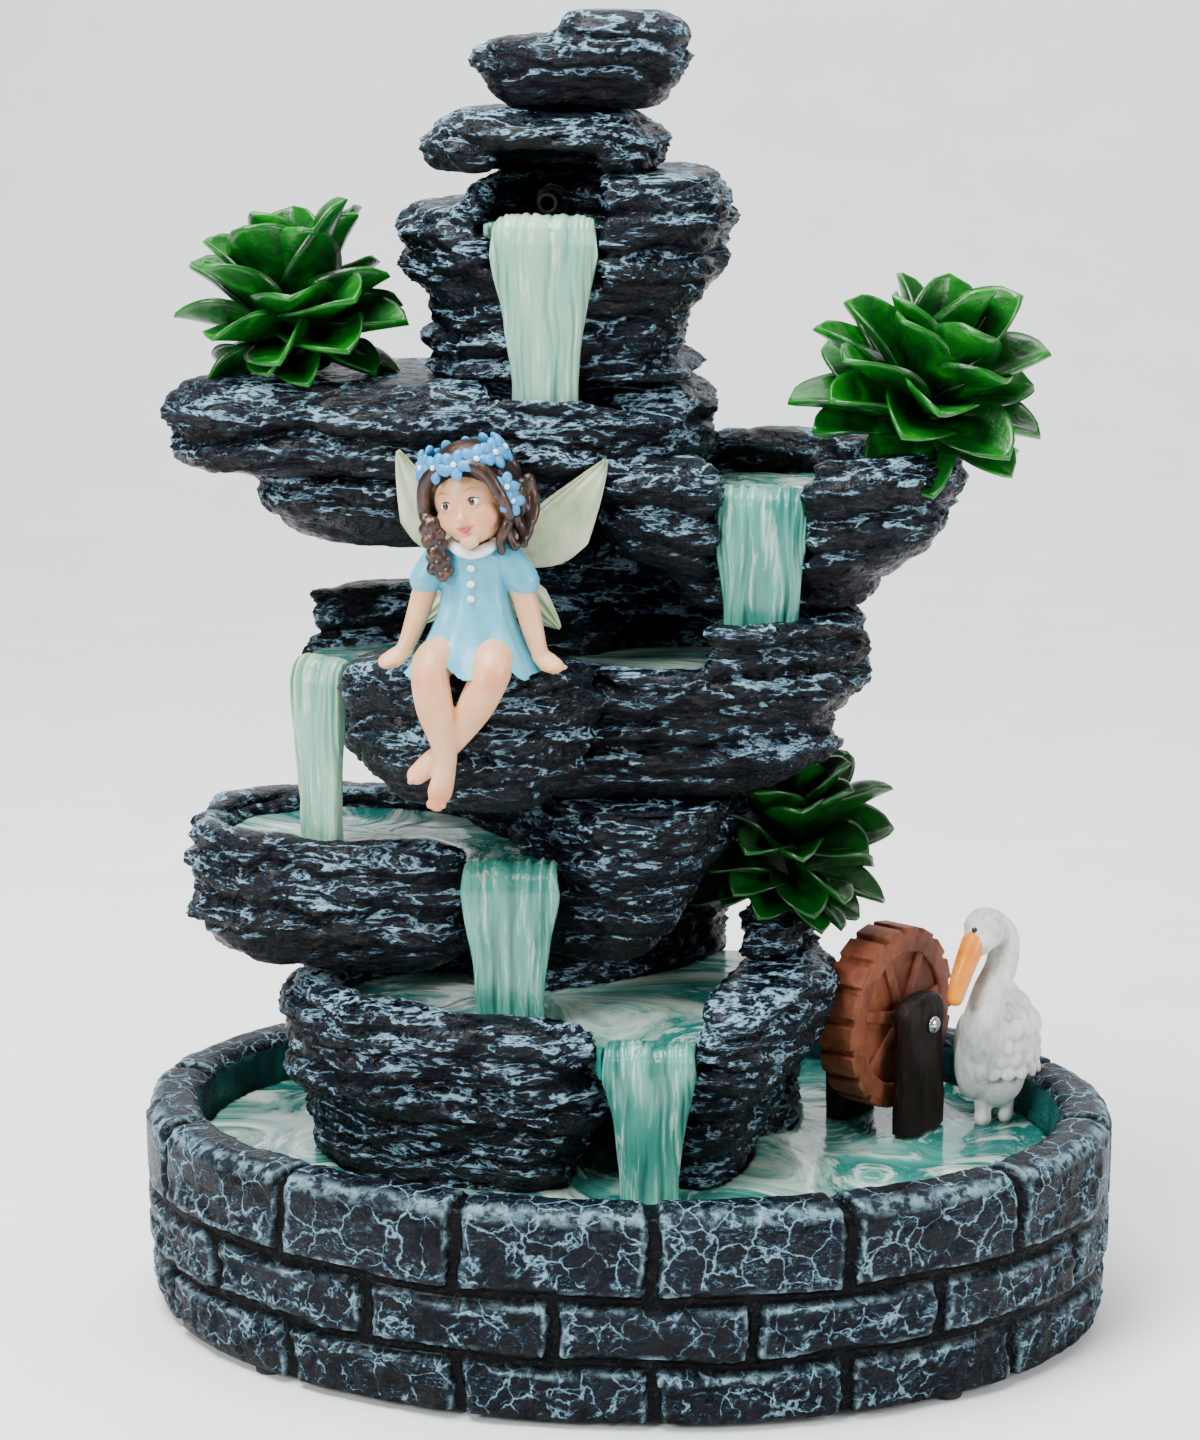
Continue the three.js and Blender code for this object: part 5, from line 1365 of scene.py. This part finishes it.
# Blush on cheeks, knees and toes: soft spots about fixed places.
where = add(tree, "ShaderNodeTexCoord").outputs["Object"]
BLUSH = [(-6.0, -10.0, 43.6, 4.0), (7.4, -9.0, 45.0, 4.2), (-8.6, -20.0, 0.0, 6.0), (9.5, -20.0, 0.0, 5.0),
         (-5.6, -22.0, -33.0, 6.0)]
warmth = 0.0
for x, y, z, spread in BLUSH:
    spot = seat + Vector((x, y, z)) * MM
    away = add(tree, "ShaderNodeVectorMath", {0: where, 1: tuple(spot)},
        operation="DISTANCE").outputs["Value"]
    soft = less(tree, 1.0, math_node(tree, "DIVIDE", away, spread * MM), clamp=True)
    warmth = math_node(tree, "ADD", warmth, times(tree, soft, 0.7), clamp=True)
colour_with(tree, shader, mix(tree, warmth, tone, linear("#d9654c")))
bump(tree, shader, object_noise(tree, 1.5, detail=3), 0.08, 0.4)
dress_blue = plain_paint("hand_painted_dress_blue", "#3f9fba", "#66bcd2", 0.4, 8.0, depth=0.25)
collar_white = plain_paint("hand_painted_white", "#e2e6e6", "#f6f8f8", 0.4, 4.0)
flower_blue = plain_paint("hand_painted_flower_blue", "#1c78b4", "#3d9ed2", 0.4, 3.0)
lip_red = plain_paint("hand_painted_lip_red", "#b5303a", "#cc4450", 0.35, 3.0)
brow_brown = plain_paint("hand_painted_brow", "#8a5a3a", "#a06e48", 0.5, 3.0)
hair_brown, tree, shader = painted("hand_painted_hair", 0.38, coat=0.2)
lock = object_noise(tree, 2.4, (1, 1, 2.5), detail=5, distortion=0.8)
tone = ramp(tree, lock, (0.36, "#130804"), (0.56, "#2f170b"), (0.78, "#70431d"))
colour_with(tree, shader, tone)
bump(tree, shader, lock, 0.4, 0.8)

# The head leans to her right and looks a little that way; features are placed in its own frame.
HEAD = Vector((1.8, -1.0, 48.0))
head_turn = Euler((0.06, -0.22, -0.20)).to_matrix()


def on_head(x, y, z):
    return tuple(HEAD + head_turn @ Vector((x, y, z)))


lean = tuple(head_turn.to_euler())
skin_parts = [
    ball_part(on_head(0, 0.5, 1.5), (10.4, 10.2, 11.2), lean, 36, 24),
    ball_part(on_head(0, -1.8, -4.6), (8.2, 7.8, 7.4), lean, 28, 20),
    ball_part(on_head(-4.6, -5.4, -3.6), (4.4, 3.8, 4.2), lean),
    ball_part(on_head(4.6, -5.4, -3.6), (4.4, 3.8, 4.2), lean),
    ball_part(on_head(0, -8.2, -10.0), (2.9, 2.2, 2.2), lean),
    ball_part(on_head(0, -10.4, -3.0), (1.35, 1.5, 1.3), lean, 14, 10),
    limb_part([on_head(0, -9.0, 0.6) + (0.8,), on_head(0, -10.0, -2.2) + (1.05,)], 8, 10),
    limb_part([(2.6, 0.5, 32, 4.0), (2.4, 0, 38, 3.6), (2.0, 0, 42, 3.8)], 10),
    limb_part([(-8.2, 0.5, 30.5, 3.7), (-11.2, -0.5, 23, 3.6), (-13.4, -1.5, 15.5, 3.3),
    (-15.6, -3.5, 9.0, 2.7),
               (-17.4, -5.0, 5.2, 2.3)], 22),
    limb_part([(-16.8, -4.8, 5.6, 2.6), (-19.4, -6.2, 3.8, 3.1), (-21.6, -7.2, 2.9, 2.6)], 10, flat=0.6),
    limb_part([(13.2, 0.5, 30.5, 3.7), (16.4, -0.5, 22, 3.6), (18.6, -1.5, 14, 3.3), (20.6, -3.5, 7.6, 2.7),
               (22.0, -5.0, 4.4, 2.3)], 22),
    limb_part([(21.6, -4.8, 4.8, 2.6), (24.0, -6.2, 3.2, 3.1), (26.0, -7.2, 2.4, 2.6)], 10, flat=0.6),
    limb_part([(-4, -3, 5, 6.0), (-7.0, -12.5, 4.4, 6.0), (-7.8, -17.6, 1.0, 5.5), (-6.4, -18.6, -8, 5.3),
               (-4.2, -18.2, -17, 4.0), (-3.6, -18.2, -23, 3.2)], 28, 16),
    limb_part([(8, -3, 5, 6.0), (9.2, -12, 4.2, 6.0), (8.8, -16.4, 0.8, 5.5), (5.0, -16.8, -7, 5.2),
               (0.2, -15.2, -15, 3.9), (-5.0, -14.8, -21.6, 3.1)], 28, 16),
    limb_part([(-3.6, -17.8, -22.5, 3.4), (-4.0, -19.4, -27, 3.6), (-5.0, -20.8, -31.5, 3.9),
    (-5.6, -21.4, -34, 2.8)], 14, flat=0.7),
    limb_part([(-5.2, -14.8, -21.6, 3.3), (-8.4, -16.8, -24.4, 3.6), (-11.6, -18.4, -27, 3.1)], 12, flat=0.7),
]
for i in range(4):
    skin_parts.append(ball_part((-22.4 + 0.9 * i, -9.0 + 0.1 * i * i, 2.4), (0.9, 2.2, 0.8),
        (0, 0, 0.5 - 0.2 * i), 10, 8))
    skin_parts.append(ball_part((25.0 + 1.0 * i, -9.2 + 0.25 * i * i, 1.9), (0.9, 2.2, 0.8),
        (0, 0, -0.1 - 0.25 * i), 10, 8))
    skin_parts.append(ball_part((-7.9 + 1.35 * i, -21.9, -34.6 - 0.35 * (i % 3)), (0.85, 1.1, 1.3),
        (0, 0, 0), 10, 8))
    skin_parts.append(ball_part((-13.4 + 0.5 * i, -20.6 + 0.9 * i, -28.4 + 0.2 * i), (0.85, 1.0, 1.1),
        (0, 0, 0), 10, 8))
fairy_skin = sculpted("fairy_skin", skin_parts, seat, 0.42, 3, skin)
stand(fairy_skin, main_body, ["fairy_figure"])

# Dress: a short-sleeved smock that flares over her lap, its hem lifting over each knee.
DRESS = [(3.4, 37.0), (6.4, 35.6), (8.6, 33.0), (9.2, 28.0), (9.6, 22.0), (11.4, 15.0), (14.6, 9.0),
    (18.6, 4.0),
         (21.5, 0.8)]
dress_points, dress_faces = [], []
DRESS_ROWS, DRESS_AROUND = 60, 144
profile = smooth_path([(r, z, 0.0) for r, z in DRESS], DRESS_ROWS)
for layer in (0, 1):
    for k, (radius, z, _) in enumerate(profile):
        t = k / (DRESS_ROWS - 1)
        flare = max(0.0, (t - 0.35) / 0.65)
        for i in range(DRESS_AROUND):
            a = 2 * math.pi * i / DRESS_AROUND
            fold = math.sin(7 * a + 0.8) + 0.6 * math.sin(11 * a + 2 + 3 * t)
            r = radius + flare * 1.1 * fold - layer * (0.5 + 1.2 * t)
            r = max(0.4, r)
            x, y = r * math.cos(a), r * math.sin(a)
            y *= 0.66 + 0.12 * flare if y > 0 else 0.72 + 0.22 * flare
            # over each knee the cloth lifts; between them and at the sides it dips
            knee = math.exp(-(((x + 8) / 4.6) ** 2)) + math.exp(-(((x - 9) / 4.6) ** 2))
            front = max(0.0, -math.sin(a))
            lift = flare**1.5 * (front * 5.6 * knee - 2.2 * abs(math.cos(a)) ** 3 - 0.8)
            dress_points.append((2.6 + x, y, max(0.15, z + lift) if y > -12 else z + lift))
start = DRESS_ROWS * DRESS_AROUND
for k in range(DRESS_ROWS - 1):
    for i in range(DRESS_AROUND):
        a, b = k * DRESS_AROUND + i, k * DRESS_AROUND + (i + 1) % DRESS_AROUND
        dress_faces.append((a, a + DRESS_AROUND, b + DRESS_AROUND, b))
        dress_faces.append((start + b, start + b + DRESS_AROUND, start + a + DRESS_AROUND, start + a))
for k in (0, DRESS_ROWS - 1):
    for i in range(DRESS_AROUND):
        a, b = k * DRESS_AROUND + i, k * DRESS_AROUND + (i + 1) % DRESS_AROUND
        dress_faces.append((a, b, start + b, start + a))
dress_parts = [(dress_points, dress_faces)]
for x0, x1, y1 in ((-4.6, -11.2, -0.6), (9.8, 16.6, -0.6)):
    dress_parts.append(limb_part([(x0, 0.5, 32.6, 4.2), ((x0 + x1) / 2, 0.2, 30.6, 4.5),
        (x1, y1, 25.2, 4.6)], 14, 20))
dress_parts.append(ball_part((2.6, 0, 29), (8.4, 5.6, 7.0)))
fairy_dress = sculpted("fairy_dress", dress_parts, seat, 0.5, 2, dress_blue)
stand(fairy_dress, main_body, ["fairy_figure"])

# Collar of two rounded points, and three small buttons.
trim_parts = []
for side in (-1, 1):
    trim_parts.append(limb_part([(2.6 + side * 0.6, -6.6, 33.6, 1.5), (2.6 + side * 3.4, -6.0, 34.8, 1.9),
        (2.6 + side * 6.0, -3.6, 36.2, 1.6),
                                 (2.6 + side * 5.4, 1.0, 37.0, 1.3)], 16, 12, flat=0.8))
for z, y in ((29.8, -7.3), (25.4, -7.8), (21.2, -8.2)):
    trim_parts.append(ball_part((2.6, y, z), (1.25, 0.9, 1.1), (0, 0, 0), 12, 8))
trim = sculpted("fairy_collar_and_buttons", trim_parts, seat, 0.35, 2, collar_white)
stand(trim, main_body, ["fairy_figure"])

# Face paint: eyes, brows and lips, each a thin film just proud of the skin.
def face_paint(name, parts, material, grain_mm=0.16):
    piece = sculpted(name, parts, seat, grain_mm, 1, material)
    stand(piece, main_body, ["fairy_figure"])


face_paint("fairy_eye_whites",
    [ball_part(on_head(x, -8.75, 0.9), (1.75, 0.7, 1.05), lean, 18, 12) for x in (-4.0, 4.0)],
           collar_white)
face_paint("fairy_eyes",
           [ball_part(on_head(x, -9.2, 0.9), (0.95, 0.5, 0.98), lean, 16, 12) for x in (-4.1, 3.8)],
           bead_black)
face_paint("fairy_lashes", [
    limb_part([on_head(s * 2.2, -9.2, 1.2) + (0.16,), on_head(s * 3.8, -9.35, 2.15) + (0.24,),
    on_head(s * 5.8, -8.3, 1.4) + (0.14,)], 14, 8)
    for s in (-1, 1)
], hair_brown)
face_paint("fairy_brows", [
    limb_part([on_head(s * 2.3, -9.5, 4.0) + (0.14,), on_head(s * 4.2, -9.2, 4.8) + (0.22,),
    on_head(s * 6.2, -8.0, 4.2) + (0.12,)], 14, 8)
    for s in (-1, 1)
], brow_brown)
face_paint("fairy_lips", [
    limb_part([on_head(-2.5, -9.0, -5.7) + (0.2,), on_head(-0.8, -10.1, -6.2) + (0.42,),
    on_head(0, -10.2, -6.4) + (0.36,),
               on_head(0.8, -10.1, -6.2) + (0.42,), on_head(2.5, -9.0, -5.7) + (0.2,)], 18, 10),
    limb_part([on_head(-1.5, -9.4, -6.6) + (0.22,), on_head(0, -9.95, -7.0) + (0.46,),
    on_head(1.5, -9.4, -6.6) + (0.22,)], 12, 10),
], lip_red)

# Hair: a full cap parted in the middle, waves over brow and ears, a braid at one side, curls at the other.
dice = random.Random(11)
hair_parts = [
    ball_part(on_head(0, 3.2, 4.4), (12.4, 11.4, 12.4), lean, 36, 24),
    ball_part(on_head(0, 6.0, -6.0), (10.5, 7.4, 12.0), lean, 28, 20),
]
for side in (-1, 1):
    for k in range(7):
        y = -9.2 + 2.9 * k
        z_top = 12.2 - 0.25 * (k - 2) ** 2 * 0.3
        wave = 0.9 * (-1) ** k
        hair_parts.append(limb_part([
            on_head(side * 0.6, y + 1.0, z_top + (0.6 if k else -1.0)) + (1.3,),
            on_head(side * 5.2, y + 0.3 + 0.4 * wave, 11.0) + (1.7,),
            on_head(side * (9.4 + 0.2 * k), y + 1.5, 6.6 + wave) + (1.9,),
            on_head(side * (11.6 - 0.1 * k), y + 3.2 - wave, 0.6) + (1.9,),
            on_head(side * (11.8 + 0.5 * wave), y + 4.4, -5.4) + (1.7,),
        ], 22, 12))
for k in range(11):
    f = k / 10
    x, z = -9.9 + 3.2 * f + 1.1 * math.sin(k * 2.6), 43.5 - 15.5 * f
    hair_parts.append(ball_part((x, -7.2 + 0.6 * math.cos(k * 2.6), z), (2.0, 1.8, 1.9),
        (0, 0.6 * (-1) ** k, 0), 14, 10))
    x, z = -7.6 + 3.0 * f - 1.1 * math.sin(k * 2.6), 42.6 - 15.0 * f
    hair_parts.append(ball_part((x, -7.4, z), (1.8, 1.7, 1.9), (0, -0.6 * (-1) ** k, 0), 14, 10))
for lock in range(5):
    x0, y0, turn_by = 12.2 + 1.5 * lock, -5.6 + 2.3 * lock, 1.3 * lock
    curl = [
        (x0 + 1.5 * math.sin(turn_by + 0.9 * j) * (0.5 + 0.1 * j), y0 + 1.5 * math.cos(turn_by + 0.9 * j),
        50 - 2.6 * j + 0.8 * lock, 2.0 - 0.12 * j)
        for j in range(7)
    ]
    hair_parts.append(limb_part(curl, 30, 12))
hair = sculpted("fairy_hair", hair_parts, seat, 0.42, 1, hair_brown)
stand(hair, main_body, ["fairy_figure"])

# A wreath of small five-petalled flowers round her head, and one by her left ear.
petal_parts = [ball_part((1.75 * math.cos(a), 1.75 * math.sin(a), 0.3), (1.55, 1.2, 0.75), (0, 0, a), 12, 8)
               for a in [2 * math.pi * i / 5 for i in range(5)]]
bloom = joined("bloom", petal_parts)
bloom.transform(Matrix.Scale(MM, 4))
bloom_cast = link("bloom", face_out(bloom))
heart_cast = link("bloom_heart",
    face_out(joined("bloom_heart", [ball_part((0, 0, 0.95), (0.62, 0.62, 0.45), (0, 0, 0), 10, 8)])))
heart_cast.data.transform(Matrix.Scale(MM, 4))
WREATH, WREATH_RADIUS, WREATH_HEIGHT = 12, 11.6, 12.2
spots = []
for i in range(WREATH):
    a = 2 * math.pi * i / WREATH - math.pi / 2 + 0.12
    dip = -0.5 * max(0.0, -math.sin(a))
    centre = Vector(on_head(WREATH_RADIUS * math.cos(a), 1.6 + 0.93 * WREATH_RADIUS * math.sin(a),
        WREATH_HEIGHT + dip))
    out = head_turn @ Vector((math.cos(a), math.sin(a), 0.35))
    spots.append((seat + centre * MM, out.to_track_quat("Z", "Y").to_euler(),
        1.42 * dice.uniform(0.94, 1.06)))
for x, y, z in ((12.8, -5.2, 2.6), (13.2, -4.4, -1.6)):
    out = head_turn @ Vector((0.75, -0.66, 0.1))
    spots.append((seat + Vector(on_head(x, y, z)) * MM, out.to_track_quat("Z", "Y").to_euler(), 1.35))
for name, cast, material in (("fairy_wreath", bloom_cast, flower_blue),
    ("fairy_wreath_hearts", heart_cast, collar_white)):
    wreath = planted(name, spots, cast, material)
    stand(wreath, main_body, ["fairy_figure"])
for spare in (bloom_cast, heart_cast, broad_leaf):
    bpy.data.objects.remove(spare)


# ---------------------------------------------------------------- wings
# Two thin cast wings glued between her shoulders, each with a tall upper and a short lower blade, washed pale
# green over cream with raised veins that fan out from the root.
wing_wash, tree, shader = painted("washed_wing_resin", 0.4, coat=0.15)
wash = object_noise(tree, 7.0, (1, 1, 1.6), detail=4)
colour_with(tree, shader, ramp(tree, wash, (0.3, "#93ab78"), (0.52, "#b7c6a2"), (0.75, "#d3d9c3")))
bump(tree, shader, object_noise(tree, 3.0, (1, 1, 3)), 0.3, 0.6)


def wing_blade(root, tip, width_up, width_down, seed):
    """A veined blade from root to tip in the XZ plane, wider above or below its own middle line."""
    root, tip = Vector(root), Vector(tip)
    along_way = (tip - root).normalized()
    up_way = Vector((0, -1, 0)).cross(along_way).normalized()
    if up_way.z < 0:
        up_way = -up_way
    length, rows, columns = (tip - root).length, 40, 26
    sides = []
    for face_side in (1, -1):
        for r in range(rows + 1):
            t = r / rows
            grow, taper = min(1.0, (t + 0.1) / 0.5), min(1.0, (1.02 - t) / 0.5)
            swell = max(0.05, math.sin(math.pi / 2 * grow) * taper ** 0.8)
            for c in range(columns + 1):
                u = 2 * c / columns - 1
                half_here = (width_up if u > 0 else width_down) * swell
                vein = 0.55 * (1 + math.cos(u * 13 + seed)) * (0.4 + 0.6 * t)
                edge = math.sqrt(max(0.0, 1 - abs(u) ** 4))
                y = face_side * (0.25 + 0.45 * edge) - (0.8 * vein if face_side > 0 else 0) - 1.3 * u * u * t
                point = root + along_way * length * t + up_way * u * half_here
                sides.append((point.x, point.y - y, point.z))
    return sides, two_sided_faces(rows, columns)


WING_Y = 15.0
for name, blades in {
    "right": [((7, WING_Y, 30), (38.0, WING_Y, 57.5), 2.5, 15.0),
    ((8, WING_Y, 22), (25.0, WING_Y, 8.5), 6.5, 5.0)],
    "left": [((0, WING_Y, 30), (-21.0, WING_Y, 59.5), 2.5, 12.0),
    ((-2, WING_Y, 22), (-16, WING_Y, 9), 5.0, 4.5)],
}.items():
    mesh = joined(name + "_wing", [wing_blade(*blade, seed=i) for i, blade in enumerate(blades)])
    mesh.transform(Matrix.Translation(seat) @ Matrix.Scale(MM, 4))
    wing = link(name + "_wing", face_out(mesh), wing_wash)
    stand(wing, main_body, ["fairy_wing_" + name])


# ---------------------------------------------------------------- pump, hose, hatch and small parts
# Working parts bought in and clipped together: a moulded ABS pump with its grille, dial and impeller on
# rubber cups, a vinyl hose to the spout, the cast hatch cover, the rubber grommet and the basin's pads.
moulded_abs = plain_paint("moulded_black_abs", "#0c0d0f", "#191b1e", 0.45, 4.0, depth=0.06)
moulded_white = plain_paint("moulded_white_abs", "#cfcfc9", "#dededa", 0.45, 4.0, depth=0.06)
moulded_brown = plain_paint("moulded_brown_abs", "#5c2f1b", "#74401f", 0.45, 4.0, depth=0.06)
soft_rubber = plain_paint("moulded_black_rubber", "#101011", "#1d1d1f", 0.85, 3.0, coat=0.0, depth=0.1)
clear_vinyl = plain_paint("clear_vinyl_hose", "#b9c6c6", "#d6dfdf", 0.25, 8.0, coat=0.3, depth=0.05)
SMALL = {
    "pump_housing": ("pump", moulded_abs, main_body, "black_plastic", 0.9),
    "pump_intake_grille": ("pump_grille", moulded_abs, "grille", "black_plastic", 0.35),
    "pump_flow_dial": ("flow_dial", moulded_brown, "dial", "dial_plastic", 0.2),
    "pump_impeller": ("impeller", moulded_white, "impeller", "impeller_plastic", 0.2),
    "pump_shaft": ("impeller_shaft", polished_steel, main_body, "pin", 0.1),
    "riser_hose": ("vinyl_hose", clear_vinyl, main_body, "hose", 0.2),
    "spring_spout": ("spout", moulded_abs, main_body, "black_plastic", 0.2),
    "cord_grommet": ("grommet", soft_rubber, main_body, "rubber", 0.5),
}
for i in range(1, 5):
    SMALL[f"pump_suction_cup_{i}"] = (f"suction_cup_{i}", soft_rubber, main_body, "rubber", 0.25)
    SMALL[f"foot_pad_{i}"] = (f"rubber_pad_{i}", soft_rubber, main_body, "rubber", 0.4)
for node, (name, material, body, finish_slot, radius) in SMALL.items():
    part = cad_copy(name, node)
    edges = part.modifiers.new("moulded_edges", "BEVEL")
    edges.width, edges.segments, edges.limit_method = radius * MM, 2, "ANGLE"
    edges.angle_limit = math.radians(50)
    settle(part)
    part.data.materials.clear()
    part.data.materials.append(material)
    stand(part, body, [node])

hatch = cad_copy("slate_hatch_cover", "rear_hatch_cover")
remesh(hatch, 0.9)
run_tree(
    hatch,
    weathered_stone,
    {"Bed": 9.5 * MM, "Reach": 0.5 * MM, "Ridge": 0.5 * MM, "Draw": 4.0, "Soften": 2, "Seed": 0.0,
     "Material": slate},
)
stand(hatch, "hatch", ["rear_hatch_cover"])
